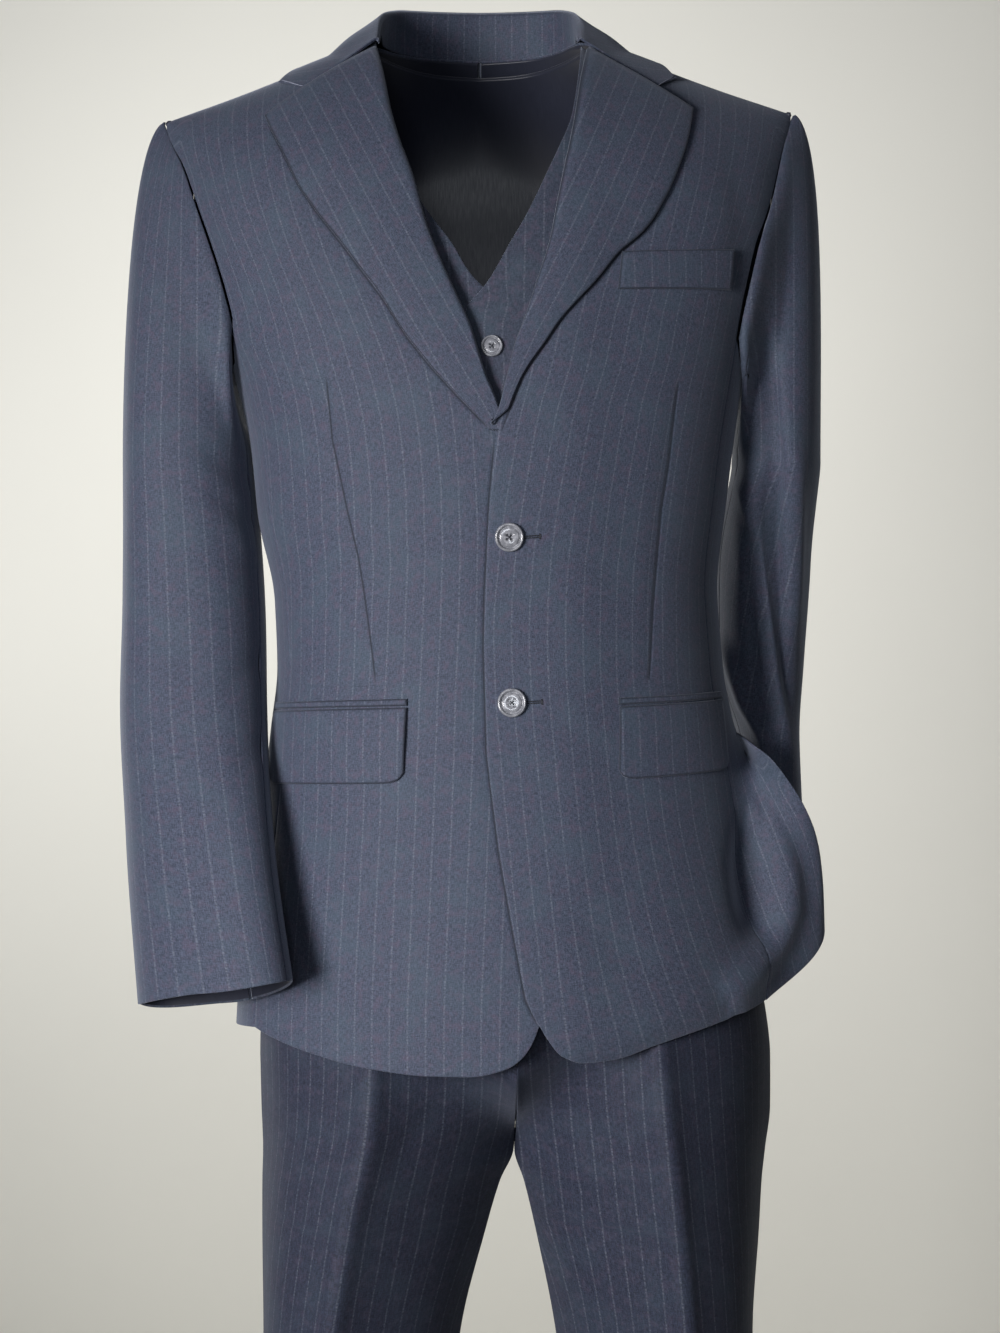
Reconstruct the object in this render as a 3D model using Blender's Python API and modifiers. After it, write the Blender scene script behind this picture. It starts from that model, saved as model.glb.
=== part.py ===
"""A tailored three-piece suit, filled out as worn, with nobody in it.

The jacket has two buttons, notch lapels, side vents and set-in sleeves cut in two pieces. The right
sleeve hangs. The left one is bent back and comes forward through the side vent, under the front
skirt, to the trouser pocket. Under the jacket are a waistcoat with a V neck and creased trousers.

Metres, +Z up. The front faces -Y and the wearer's left is +X. The origin is the middle of the neck.
Each cut piece is one sheet laid on a rounded body form, made a wall with Solidify. A place on the
form is an angle round it, 0 at the front and positive to the left, and a height.
"""

import math
from collections import namedtuple
from types import SimpleNamespace

import bmesh
import bpy
from mathutils import Matrix, Vector

COLLECTION = "three_piece_suit"

# Cloth, seams and the layers that lie on each other
JACKET_WALL = 0.0020
WAISTCOAT_WALL = 0.0016
TROUSER_WALL = 0.0015
FLAP_WALL = 0.0018
WELT_WALL = 0.0016
JET_WALL = 0.0012
GAP = 0.0003
EDGE_INSET = 0.0002
SKIRT_INSET = 0.0010
SLEEVE_INSET = 0.0010
LAP_LIFT = JACKET_WALL + 0.0009
LAPEL_LIFT = JACKET_WALL + 0.0014
POCKET_LIFT = JACKET_WALL + 0.0011
LEAF_LIFT = JACKET_WALL + 0.0018
LAPEL_SHARE = 0.95
STAND_SHARE = 0.375

# Body form
SHOULDER_ROUND = 0.110
SHOULDER_TILT = 0.013
BODY_MIDDLE = 0.002

# Lengths and seam places
NECK_X = 0.075
NECK_BACK = 0.018
FRONT_SEAM = math.radians(66)
BACK_SEAM = math.radians(112)
SEAM_KNEE = -0.300
UNDERARM = -0.228
UNDERARM_FROM, UNDERARM_TO = math.radians(76), math.radians(97)
VENT_TOP = -0.470
JACKET_HEM_BACK = -0.735
CAP_SHARE = 0.42
SLEEVE_RING_TOP = -0.300
WAIST_TOP = -0.520
WAIST_SEAM = -0.5555
CROTCH = -0.810
TROUSER_HEM = -1.575

# Buttons
JACKET_BUTTON = 0.0205
WAISTCOAT_BUTTON = 0.0155
BUTTON_CLEAR = 0.0003

RIGHT, LEFT = -1, 1
SIDE_NAME = {RIGHT: "right", LEFT: "left"}


# ---------------------------------------------------------------- sizes between the rows of a table

class Table:
    """Rows of named sizes in order of the first column, read between rows on a smooth curve."""

    def __init__(self, names, *rows):
        self.names = names.split()
        self.rows = sorted(rows)

    def slope(self, index, column):
        rows = self.rows
        steps = []
        for start in (index - 1, index):
            if 0 <= start < len(rows) - 1:
                span = rows[start + 1][0] - rows[start][0]
                steps.append((rows[start + 1][column] - rows[start][column]) / span)
        if len(steps) == 1:
            return steps[0]
        if steps[0] * steps[1] <= 0:
            return 0.0
        return 2 * steps[0] * steps[1] / (steps[0] + steps[1])

    def at(self, key):
        rows = self.rows
        key = min(max(key, rows[0][0]), rows[-1][0])
        upper = 1
        while rows[upper][0] < key:
            upper += 1
        lower = upper - 1
        span = rows[upper][0] - rows[lower][0]
        t = (key - rows[lower][0]) / span
        values = {}
        for column, name in enumerate(self.names):
            start = rows[lower][column]
            end = rows[upper][column]
            out = self.slope(lower, column) * span
            into = self.slope(upper, column) * span
            values[name] = hermite(start, out, end, into, t)
        return SimpleNamespace(**values)


def hermite(start, out, end, into, t):
    """A smooth step from start to end that leaves and arrives with the given slopes."""
    rise = t * t * (3 - 2 * t)
    return start * (1 - rise) + end * rise + out * t * (1 - t) ** 2 - into * t * t * (1 - t)


def mix(start, end, share):
    return start + (end - start) * share


def ease(low, high, value):
    """0 at low, 1 at high and a soft rise between."""
    share = min(max((value - low) / (high - low), 0.0), 1.0)
    return share * share * (3 - 2 * share)


class Line:
    """A smooth line through points, read at a share of its length, crowded towards its start."""

    def __init__(self, *points, crowd=1.0):
        self.crowd = crowd
        self.points = [Vector(point) for point in points]
        travelled = [0.0]
        for before, after in zip(self.points, self.points[1:]):
            travelled.append(travelled[-1] + (after - before).length)
        rows = []
        for distance, point in zip(travelled, self.points):
            rows.append((distance / travelled[-1], *point))
        self.size = len(self.points[0])
        self.table = Table("share " + " ".join("abc"[:self.size]), *rows)

    def at(self, share):
        row = self.table.at(share ** self.crowd)
        return Vector([getattr(row, name) for name in "abc"[:self.size]])


class Chain:
    """Lines end to end, each with its own share of the whole."""

    def __init__(self, *parts):
        self.parts = parts

    def at(self, share):
        start = 0.0
        for length, line in self.parts:
            if share <= start + length + 1e-9:
                return line.at(min((share - start) / length, 1.0))
            start += length
        return self.parts[-1][1].at(1.0)


class Rule:
    """A line worked out by a function of its share."""

    def __init__(self, function):
        self.at = function


# ------------------------------------------------------------------------------- the body form

TORSO = Table(
    "z middle half front back power",
    (0.050, 0.002, 0.232, 0.076, 0.104, 2.3),
    (-0.044, 0.002, 0.232, 0.088, 0.114, 2.3),
    (-0.100, 0.003, 0.223, 0.102, 0.120, 2.3),
    (-0.150, 0.005, 0.212, 0.114, 0.121, 2.3),
    (-0.200, 0.006, 0.198, 0.122, 0.118, 2.3),
    (-0.240, 0.010, 0.187, 0.126, 0.118, 2.3),
    (-0.2885, 0.012, 0.178, 0.127, 0.114, 2.25),
    (-0.338, 0.0115, 0.1725, 0.126, 0.108, 2.2),
    (-0.400, 0.015, 0.1635, 0.123, 0.102, 2.2),
    (-0.450, 0.018, 0.1645, 0.123, 0.098, 2.15),
    (-0.498, 0.020, 0.1715, 0.126, 0.104, 2.1),
    (-0.580, 0.0235, 0.1845, 0.130, 0.120, 2.0),
    (-0.640, 0.025, 0.1945, 0.132, 0.130, 2.0),
    (-0.687, 0.026, 0.2015, 0.134, 0.136, 2.0),
    (-0.740, 0.028, 0.2065, 0.135, 0.139, 2.0),
)

SHOULDER = Table(
    "reach height",
    (0.000, 0.046),
    (0.040, 0.036),
    (0.075, 0.0165),
    (0.132, -0.0065),
    (0.180, -0.0245),
    (0.230, -0.0410),
)


def signed_power(value, power):
    return math.copysign(abs(value) ** power, value)


def shoulder_height(x):
    return SHOULDER.at(abs(x - BODY_MIDDLE)).height + SHOULDER_TILT * x


def form_point(angle, z):
    """The point of the body form at an angle round it and a height."""
    ring = TORSO.at(z)
    across = signed_power(math.sin(angle), 2 / ring.power)
    deep = signed_power(math.cos(angle), 2 / ring.power)
    x = ring.middle + ring.half * across
    drop = min(max((shoulder_height(x) - z) / SHOULDER_ROUND, 0.0), 1.0)
    depth = ring.front if deep > 0 else ring.back
    return Vector((x, -depth * deep * math.sqrt(1 - (1 - drop) ** 2), z))


def crown_point(angle, z, lean):
    """A point of the form's round top: lean is 0 along the shoulder and a right angle below it."""
    ring = TORSO.at(z)
    x = ring.middle + ring.half * signed_power(math.sin(angle), 2 / ring.power)
    deep = signed_power(math.cos(angle), 2 / ring.power)
    depth = ring.front if deep > 0 else ring.back
    height = shoulder_height(x) - SHOULDER_ROUND * (1 - math.cos(lean))
    return Vector((x, -depth * deep * math.sin(lean), height))


def on_form(angle, z, out=0.0):
    """A point out from the body form, square to it."""
    point = form_point(angle, z)
    if not out:
        return point
    turn = math.radians(1.5)
    drop = (shoulder_height(point.x) - z) / SHOULDER_ROUND
    if drop < 1:
        lean = math.acos(1 - max(drop, 0.0))
        around = crown_point(angle + turn, z, lean) - crown_point(angle - turn, z, lean)
        upward = crown_point(angle, z, lean - turn) - crown_point(angle, z, lean + turn)
    else:
        step = 0.004
        around = form_point(angle + turn, z) - form_point(angle - turn, z)
        upward = form_point(angle, z + step) - form_point(angle, z - step)
    return point + around.cross(upward).normalized() * out


def angle_at(x, z, behind=False):
    """The angle at which the form has a given x, in front or behind."""
    ring = TORSO.at(z)
    share = min(max((x - ring.middle) / ring.half, -1.0), 1.0)
    angle = math.asin(signed_power(share, ring.power / 2))
    if behind:
        return math.copysign(math.pi, x - ring.middle) - angle
    return angle


def seen(x, z, behind=False):
    """A place on the form, angle and height, from where it is seen square on."""
    return (angle_at(x, z, behind), z)


# ------------------------------------------------------------------------ sheets, walls and nodes

def patch(inner, outer, top, bottom):
    """A sheet between four lines: u runs from inner to outer and v from top to bottom."""
    corner_a, corner_b = inner.at(0), outer.at(0)
    corner_c, corner_d = inner.at(1), outer.at(1)

    def place(u, v):
        sides = mix(inner.at(v), outer.at(v), u)
        ends = mix(top.at(u), bottom.at(u), v)
        corners = mix(mix(corner_a, corner_b, u), mix(corner_c, corner_d, u), v)
        return sides + ends - corners

    return place


def material(name, colour, roughness):
    surface = bpy.data.materials.new(name)
    surface.use_nodes = True
    shader = surface.node_tree.nodes["Principled BSDF"]
    shader.inputs["Base Color"].default_value = (*colour, 1.0)
    shader.inputs["Roughness"].default_value = roughness
    shader.inputs["Metallic"].default_value = 0.0
    return surface


def cloth(name):
    return material(name + "_wool", (0.030, 0.037, 0.060), 0.9)


def add_object(name, bm, surface):
    mesh = bpy.data.meshes.new(name)
    bm.to_mesh(mesh)
    bm.free()
    mesh.materials.append(surface)
    piece = bpy.data.objects.new(name, mesh)
    bpy.data.collections[COLLECTION].objects.link(piece)
    return piece


def sheet(name, columns, rows, place, wall, flip=False, inset=EDGE_INSET):
    """A wall of cloth: a grid whose points are placed by u and v, parted from its neighbours."""
    bm = bmesh.new()
    bmesh.ops.create_grid(bm, x_segments=columns, y_segments=rows, size=0.5)
    bm.verts.ensure_lookup_table()
    for vertex in bm.verts:
        vertex.co = place(vertex.co.x + 0.5, 0.5 - vertex.co.y)
    points = [vertex.co.copy() for vertex in bm.verts]
    for index, vertex in enumerate(bm.verts):
        row, column = divmod(index, columns + 1)
        inward = []
        if column in (0, columns):
            inward.append(index + (1 if column == 0 else -1))
        if row in (0, rows):
            inward.append(index + (columns + 1) * (1 if row == 0 else -1))
        for neighbour in inward:
            vertex.co += (points[neighbour] - points[index]).normalized() * inset
    if flip:
        bmesh.ops.reverse_faces(bm, faces=bm.faces[:])
    piece = add_object(name, bm, cloth(name))
    piece.data.shade_smooth()
    solid = piece.modifiers.new("wall", "SOLIDIFY")
    solid.thickness = wall
    solid.offset = 1.0
    return piece


# --------------------------------------------------------------------------- jacket: seam lines

ARMHOLE_TIP = {RIGHT: -0.0445, LEFT: -0.0380}
ARMHOLE_FOOT = (FRONT_SEAM * 1.03, -0.212)
ARMHOLE_FRONT = {
    RIGHT: ((-0.2165, -0.077), (-0.2045, -0.107), (-0.193, -0.138), (-0.185, -0.161),
            (-0.177, -0.1875)),
    LEFT: ((0.2265, -0.066), (0.218, -0.100), (0.2095, -0.127), (0.202, -0.150),
           (0.196, -0.178)),
}
FRONT_SEAM_END = {RIGHT: -0.714, LEFT: -0.694}
SIDE_HEM_END = {RIGHT: -0.722, LEFT: -0.650}


def armhole_front(side):
    """From the shoulder tip down the front of the armhole to the front seam."""
    tip = (side * math.pi / 2, ARMHOLE_TIP[side])
    places = [seen(x, z) for x, z in ARMHOLE_FRONT[side]]
    angle, foot = ARMHOLE_FOOT
    return Line(tip, *places, (side * angle, foot), crowd=2.0)


def armhole_back(side):
    """From the shoulder tip down the back of the armhole to the back seam."""
    front = armhole_front(side)

    def at(share):
        angle, z = front.at(share)
        wide = side * math.pi - angle
        shift = (side * BACK_SEAM - (side * math.pi - front.at(1)[0])) * share * share
        return Vector((wide + shift, z))

    return Rule(at)


def armhole_under(side):
    """Under the arm, from the front seam to the back seam."""
    front = armhole_front(side).at(1)
    back = armhole_back(side).at(1)
    return Line(front, (side * UNDERARM_FROM, UNDERARM), (side * UNDERARM_TO, UNDERARM), back)


def front_seam(side):
    low = (side * FRONT_SEAM, FRONT_SEAM_END[side])
    return Line(armhole_front(side).at(1), (side * FRONT_SEAM, SEAM_KNEE), low)


def back_seam(side, low):
    return Line(armhole_back(side).at(1), (side * BACK_SEAM, SEAM_KNEE), (side * BACK_SEAM, low))


def neck_point(side, behind=False):
    """Where the shoulder seam meets the neck, as a place on the form."""
    height = shoulder_height(side * NECK_X)
    return Vector((angle_at(side * NECK_X, height, behind), height))


def shoulder_seam(start, end):
    """Along the shoulder from the neck to the tip of the armhole."""
    def at(share):
        angle = mix(start[0], end[0], share)
        if share == 1:
            return end
        return Vector((angle, shoulder_height(form_point(angle, 0.0).x)))

    return Rule(at)


ROLL_LINE = {
    RIGHT: ((-0.0735, 0.010), (-0.0675, -0.023), (-0.0615, -0.053), (-0.0535, -0.080),
            (-0.0444, -0.106), (-0.036, -0.137), (-0.0234, -0.169), (-0.0132, -0.192),
            (-0.0052, -0.210), (0.003, -0.237), (0.015, -0.265)),
    LEFT: ((0.083, 0.010), (0.077, -0.0285), (0.0723, -0.060), (0.0665, -0.092),
           (0.061, -0.119), (0.0546, -0.152), (0.046, -0.1795), (0.038, -0.2046),
           (0.030, -0.2268), (0.024, -0.2513), (0.019, -0.271), (0.016, -0.293)),
}

LAPEL_EDGE = {
    RIGHT: ((-0.152, -0.0514), (-0.138, -0.080), (-0.125, -0.107), (-0.112, -0.127),
            (-0.095, -0.149), (-0.0825, -0.166), (-0.064, -0.191), (-0.0474, -0.218),
            (-0.031, -0.239), (-0.011, -0.261), (0.013, -0.2855)),
    LEFT: ((0.1577, -0.0455), (0.150, -0.080), (0.1284, -0.129), (0.118, -0.143),
           (0.1015, -0.1576), (0.085, -0.1785), (0.0624, -0.2037), (0.050, -0.222),
           (0.034, -0.245), (0.016, -0.290)),
}

GORGE = {
    RIGHT: ((-0.0735, 0.002), (-0.123, -0.032), (-0.152, -0.0514)),
    LEFT: ((0.0825, -0.001), (0.131, -0.031), (0.1577, -0.0455)),
}

COLLAR_TIP = {RIGHT: (-0.144, -0.0237), LEFT: (0.1465, -0.0214)}

FRONT_EDGE = {
    RIGHT: ((0.015, -0.265), (0.034, -0.300), (0.0425, -0.345), (0.0425, -0.480),
            (0.0430, -0.600), (0.0465, -0.680), (0.0465, -0.700)),
    LEFT: ((0.0163, -0.290), (0.0117, -0.3325), (0.0082, -0.400), (0.0075, -0.438),
           (0.0096, -0.513), (0.018, -0.580), (0.0265, -0.629), (0.037, -0.685),
           (0.049, -0.709)),
}

HEM = {
    RIGHT: ((0.0465, -0.700), (0.038, -0.720), (0.022, -0.733), (-0.0045, -0.7385),
            (-0.031, -0.7385), (-0.0745, -0.735), (-0.112, -0.728)),
    LEFT: ((0.049, -0.709), (0.060, -0.723), (0.076, -0.729), (0.097, -0.728),
           (0.130, -0.719), (0.156, -0.712)),
}

# The back edge of the left skirt, pushed forward and out by the wrist that comes through the vent.
VENT_EDGE = Table(
    "row x y z",
    (-0.470, 0.1945, 0.040, -0.470),
    (-0.495, 0.1950, 0.004, -0.490),
    (-0.515, 0.1985, -0.036, -0.502),
    (-0.535, 0.2150, -0.055, -0.516),
    (-0.555, 0.2290, -0.058, -0.534),
    (-0.575, 0.2400, -0.052, -0.553),
    (-0.595, 0.2500, -0.040, -0.580),
    (-0.620, 0.2550, -0.028, -0.614),
    (-0.650, 0.2570, -0.016, -0.643),
)


# The wrist in the vent gathers the left skirt into a valley and a ridge, given as seen.
SkirtFold = namedtuple("SkirtFold", "path width out")
SKIRT_FOLDS = (
    SkirtFold(path=((0.2016, -0.5594), (0.1961, -0.5947), (0.2009, -0.6285), (0.2126, -0.6498)),
              width=0.0125, out=-0.0085),
    SkirtFold(path=((0.2076, -0.5554), (0.2176, -0.5790), (0.2253, -0.6065), (0.2253, -0.6300),
                    (0.2176, -0.6498), (0.2058, -0.6675), (0.1900, -0.6814), (0.1802, -0.6902)),
              width=0.0130, out=0.0085),
)
SKIRT_OUT = Vector((0.50, -0.85, 0.0))


def skirt_push(point):
    """How far those folds push the left skirt in or out at a point."""
    here = Vector((point.x, point.z))
    total = 0.0
    for fold in SKIRT_FOLDS:
        steps = len(fold.path) - 1
        nearest, share = 1.0, 0.0
        for number, (start, end) in enumerate(zip(fold.path, fold.path[1:])):
            start, end = Vector(start), Vector(end)
            way = end - start
            along = min(max((here - start).dot(way) / way.length_squared, 0.0), 1.0)
            off = (here - start - way * along).length
            if off < nearest:
                nearest, share = off, (number + along) / steps
        fade = max(math.sin(math.pi * share), 0.0) ** 0.5
        total += fold.out * fade * math.exp(-(nearest / fold.width) ** 2)
    return SKIRT_OUT * total


def front_lift(x):
    """How far the left front stands off the form where it laps over the right one."""
    full, none = 0.060, 0.110
    return LAP_LIFT * (1 - ease(full, none, x))


def front_place(side):
    """The front, from its edge and roll line to the armhole and front seam."""
    neck = neck_point(side)
    edge = Line(*[seen(x, z) for x, z in FRONT_EDGE[side]])
    roll = Line(neck, *[seen(x, z) for x, z in ROLL_LINE[side][:-1]], edge.at(0), crowd=1.6)
    inner = Chain((0.45, roll), (0.55, edge))
    outer = Chain((0.40, armhole_front(side)), (0.60, front_seam(side)))
    low = front_seam(side).at(1)
    bottom = Line(edge.at(1), *[seen(x, z) for x, z in HEM[side][1:]], low)
    return patch(inner, outer, shoulder_seam(neck, armhole_front(side).at(0)), bottom)


def jacket_front(side):
    plan = front_place(side)

    def place(u, v):
        angle, z = plan(u, v)
        point = on_form(angle, z)
        if side == LEFT:
            point = on_form(angle, z, front_lift(point.x))
            point += skirt_push(point)
        return point

    columns, rows = (14, 30) if side == LEFT else (12, 20)
    name = "jacket_front_" + SIDE_NAME[side]
    return sheet(name, columns, rows, place, JACKET_WALL, flip=side == RIGHT)


def side_place(side):
    low = SIDE_HEM_END[side]
    front = front_seam(side).at(1)
    middle = mix(front, Vector((side * BACK_SEAM, low)), 0.5)
    hem = Line(front, middle, (side * BACK_SEAM, low))
    return patch(front_seam(side), back_seam(side, low), armhole_under(side), hem)


def vent_pull(u, edge_row):
    """How far the wrist pushes the left side panel out, growing towards its back edge."""
    onset, growth, fullness = 0.050, 1.6, 0.5
    edge = VENT_EDGE.at(edge_row)
    pull = Vector((edge.x, edge.y, edge.z)) - on_form(BACK_SEAM, edge_row)
    shape = u ** growth * (1 + fullness * (1 - u))
    return pull * shape * ease(VENT_TOP, VENT_TOP - onset, edge_row)


def jacket_side(side):
    plan = side_place(side)

    def place(u, v):
        point = on_form(*plan(u, v))
        edge_row = plan(1.0, v)[1]
        if side == LEFT and edge_row < VENT_TOP:
            point += vent_pull(u, edge_row)
            point += skirt_push(point)
        return point

    inset = SKIRT_INSET if side == LEFT else EDGE_INSET
    columns, rows = (10, 18) if side == LEFT else (6, 12)
    name = "jacket_side_" + SIDE_NAME[side]
    return sheet(name, columns, rows, place, JACKET_WALL, side == RIGHT, inset)


def jacket_back(side):
    """Half the back, from the seam down the middle to the side seam."""
    neck = neck_point(side, behind=True)
    armhole = armhole_back(side)
    outer = Chain((0.40, armhole), (0.60, back_seam(side, JACKET_HEM_BACK)))
    middle = side * math.pi
    inner = Line((middle, NECK_BACK), (middle, SEAM_KNEE), (middle, JACKET_HEM_BACK), crowd=1.3)
    shoulder = shoulder_seam(neck, armhole.at(0))
    neck_share = 0.30

    def along_top(share):
        if share < neck_share:
            part = share / neck_share
            return Vector((mix(middle, neck[0], part), mix(NECK_BACK, neck[1], part * part)))
        return shoulder.at((share - neck_share) / (1 - neck_share))

    hem = Line((middle, JACKET_HEM_BACK), (side * BACK_SEAM, JACKET_HEM_BACK))
    plan = patch(inner, outer, Rule(along_top), hem)

    def place(u, v):
        return on_form(*plan(u, v))

    return sheet("jacket_back_" + SIDE_NAME[side], 10, 20, place, JACKET_WALL, flip=side == LEFT)


# -------------------------------------------------------------------- jacket: collar and lapels

def lapel_place(side):
    """The lapel, from just past its roll line to its outer edge, lying on the front."""
    past_roll = 0.0025
    roll = [seen(x - side * past_roll, z) for x, z in ROLL_LINE[side][1:-1]]
    edge = Line(*[seen(x, z) for x, z in LAPEL_EDGE[side]])
    start = seen(GORGE[side][0][0] - side * past_roll, GORGE[side][0][1])
    foot = edge.at(1)
    roll = Line(start, *roll, (foot[0] - side * math.radians(2), foot[1]))
    top = Line(start, *[seen(x, z) for x, z in GORGE[side][1:]])
    bottom = Line(roll.at(1), foot)
    return patch(roll, edge, top, bottom)


def jacket_lapel(side):
    """A lapel whose middle stands off the front in a soft roll."""
    plan = lapel_place(side)
    roll_height = 0.0025

    def place(u, v):
        angle, z = plan(u, v * LAPEL_SHARE)
        lift = LAPEL_LIFT + roll_height * math.sin(math.pi * u) * (1 - v)
        if side == LEFT:
            lift += front_lift(form_point(angle, z).x)
        return on_form(angle, z, lift)

    return sheet("jacket_lapel_" + SIDE_NAME[side], 5, 14, place, JACKET_WALL, flip=side == RIGHT)


def clear_of_form(point, lift):
    """The point, or where it is pushed out to so that it stands off the form's shoulder."""
    ring = TORSO.at(point.z)
    share = min(abs(point.x - ring.middle) / ring.half, 1.0)
    chord = (1 - share ** ring.power) ** (1 / ring.power)
    depth = (ring.front if point.y < 0 else ring.back) * chord + lift
    height = SHOULDER_ROUND + lift
    centre = shoulder_height(point.x) - SHOULDER_ROUND
    if point.z <= centre:
        return point
    reach = math.hypot(point.y / depth, (point.z - centre) / height)
    if reach >= 1:
        return point
    return Vector((point.x, point.y / reach, centre + (point.z - centre) / reach))


STAND = ((0.0745, -0.0400, 0.0065), (0.0745, -0.0050, 0.0205), (0.0745, 0.0200, 0.0200),
         (0.0560, 0.0580, 0.0200))
STAND_BACK = (BODY_MIDDLE, 0.0800, 0.0200)
FOLD = ((0.0750, -0.0430, 0.0085), (0.0745, -0.0080, 0.0290), (0.0720, 0.0200, 0.0420),
        (0.0560, 0.0540, 0.0530))
FOLD_BACK = (BODY_MIDDLE, 0.0740, 0.0560)
LEAF_FRONT = (0.141, -0.0165)
LEAF_RIDGE = 0.132
LEAF_BEHIND = ((0.118, -0.009), (0.095, -0.011), (0.062, -0.010))
LEAF_BACK = -0.006


def both_sides(rows, middle):
    """A line from the right end of the collar to the left one."""
    ends = {}
    for side in (RIGHT, LEFT):
        ends[side] = [(side * row[0] + BODY_MIDDLE, *row[1:]) for row in rows]
    return Line(*ends[RIGHT], middle, *reversed(ends[LEFT]))


def leaf_points(side):
    """The edge of the leaf, from its tip over the shoulder and round towards the back."""
    points = [on_form(*seen(*COLLAR_TIP[side]), LEAF_LIFT)]
    points.append(on_form(*seen(side * LEAF_FRONT[0] + BODY_MIDDLE, LEAF_FRONT[1]), LEAF_LIFT))
    ridge = side * LEAF_RIDGE + BODY_MIDDLE
    points.append(Vector((ridge, 0.0, shoulder_height(ridge) + LEAF_LIFT)))
    for x, z in LEAF_BEHIND:
        points.append(on_form(*seen(side * x + BODY_MIDDLE, z, behind=True), LEAF_LIFT))
    return points


def leaf_end(side, fold):
    """The end of the leaf: down beside the lapel's top edge to the notch, then out to the tip."""
    beside = 0.0016
    start, notch = GORGE[side][:2]
    along = []
    for share in (0.45, 1.0):
        x, z = mix(start[0], notch[0], share), mix(start[1], notch[1], share)
        along.append(on_form(*seen(x + side * 0.57 * beside, z + 0.82 * beside), LEAF_LIFT))
    tip = on_form(*seen(*COLLAR_TIP[side]), LEAF_LIFT)
    return Chain((0.6, Line(fold, *along)), (0.4, Line(along[-1], tip)))


def collar_place():
    """The collar: up its stand from the neck seam, over the fold and down the leaf."""
    roll_height = 0.006
    notch_reach = 0.14
    stand = both_sides(STAND, STAND_BACK)
    fold = both_sides(FOLD, FOLD_BACK)
    leaf_back = on_form(math.pi, LEAF_BACK, LEAF_LIFT)
    leaf = Line(*leaf_points(RIGHT), leaf_back, *reversed(leaf_points(LEFT)))
    ends = {RIGHT: leaf_end(RIGHT, fold.at(0)), LEFT: leaf_end(LEFT, fold.at(1))}

    def place(u, v):
        if v < STAND_SHARE:
            return mix(stand.at(u), fold.at(u), v / STAND_SHARE)
        down = (v - STAND_SHARE) / (1 - STAND_SHARE)
        point = mix(fold.at(u), leaf.at(u), down)
        side, edge = (RIGHT, 0.0) if u < 0.5 else (LEFT, 1.0)
        end = ease(notch_reach, 0.0, abs(u - edge))
        point += (ends[side].at(down) - mix(fold.at(edge), leaf.at(edge), down)) * end
        away = Vector((point.x - BODY_MIDDLE, point.y, 0.0)).normalized()
        roll = roll_height * math.sin(math.pi * min(down * 1.6, 1.0))
        return clear_of_form(point + away * roll * (1 - end), LEAF_LIFT)

    return place


def jacket_collar():
    return sheet("jacket_collar", 24, 8, collar_place(), JACKET_WALL, flip=True)


# ------------------------------------------------------------------- jacket: pockets and buttons

def lying_panel(name, corners, lift, columns, rows, wall, side, round_low=0.0):
    """A small panel lying on a front, between corners given as seen: two on top, two below."""
    top = Line(seen(*corners[0]), seen(*corners[1]))
    bottom = Line(seen(*corners[2]), seen(*corners[3]))

    def place(u, v):
        corner = max(abs(2 * u - 1) - (1 - 2 * round_low), 0.0) / max(2 * round_low, 1e-6)
        cut = 1.3 * round_low * (1 - math.sqrt(1 - min(corner, 1.0) ** 2))
        share = v * (1 - cut)
        angle, z = mix(top.at(u), bottom.at(u), share)
        out = lift
        if side == LEFT:
            out += front_lift(form_point(angle, z).x)
        return on_form(angle, z, out)

    return sheet(name, columns, rows, place, wall)


WELT = ((0.1035, -0.1570), (0.1850, -0.1493), (0.1005, -0.1844), (0.1825, -0.1785))

FLAP = {
    RIGHT: ((-0.1440, -0.4842), (-0.0467, -0.4802), (-0.1480, -0.5372), (-0.0490, -0.5335)),
    LEFT: ((0.1009, -0.4796), (0.1770, -0.4755), (0.1000, -0.5310), (0.1815, -0.5262)),
}

JET = {
    RIGHT: ((-0.1440, -0.4780), (-0.0467, -0.4740), (-0.1440, -0.4828), (-0.0467, -0.4790)),
    LEFT: ((0.1005, -0.4735), (0.1770, -0.4695), (0.1005, -0.4784), (0.1770, -0.4743)),
}


def jacket_pockets():
    lying_panel("jacket_chest_welt", WELT, POCKET_LIFT, 6, 2, WELT_WALL, RIGHT)
    for side in (RIGHT, LEFT):
        name = SIDE_NAME[side]
        lying_panel("jacket_jet_" + name, JET[side], POCKET_LIFT, 8, 1, JET_WALL, side)
        lying_panel("jacket_flap_" + name, FLAP[side], POCKET_LIFT, 14, 4, FLAP_WALL, side, 0.11)


def button(name, width, place):
    """A turned button: a disc with a rim that stands over a shallow dish."""
    radius = width / 2
    height = width * 0.17
    rim = radius * 0.78
    profile = ((0.0, height * 0.72), (rim * 0.86, height * 0.72), (rim, height),
               (radius, height * 0.5), (radius * 0.8, 0.0), (0.0, 0.0))
    bm = bmesh.new()
    points = [bm.verts.new((across, 0.0, up)) for across, up in profile]
    for start, end in zip(points, points[1:]):
        bm.edges.new((start, end))
    piece = add_object(name, bm, material(name + "_horn", (0.012, 0.013, 0.018), 0.25))
    turned = piece.modifiers.new("turned", "SCREW")
    turned.steps = 16
    turned.render_steps = 16
    turned.use_merge_vertices = True
    turned.merge_threshold = 0.00005
    angle, z, lift = place
    centre = on_form(angle, z, lift)
    out = (on_form(angle, z, lift + 0.01) - centre).normalized()
    side = Vector((1, 0, 0)) - out * out.x
    side.normalize()
    up = out.cross(side)
    turn = Matrix((side, up, out)).transposed()
    piece.matrix_world = Matrix.Translation(centre) @ turn.to_4x4()
    return piece


JACKET_BUTTONS = ((0.0243, -0.3600), (0.0262, -0.4770))


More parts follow.
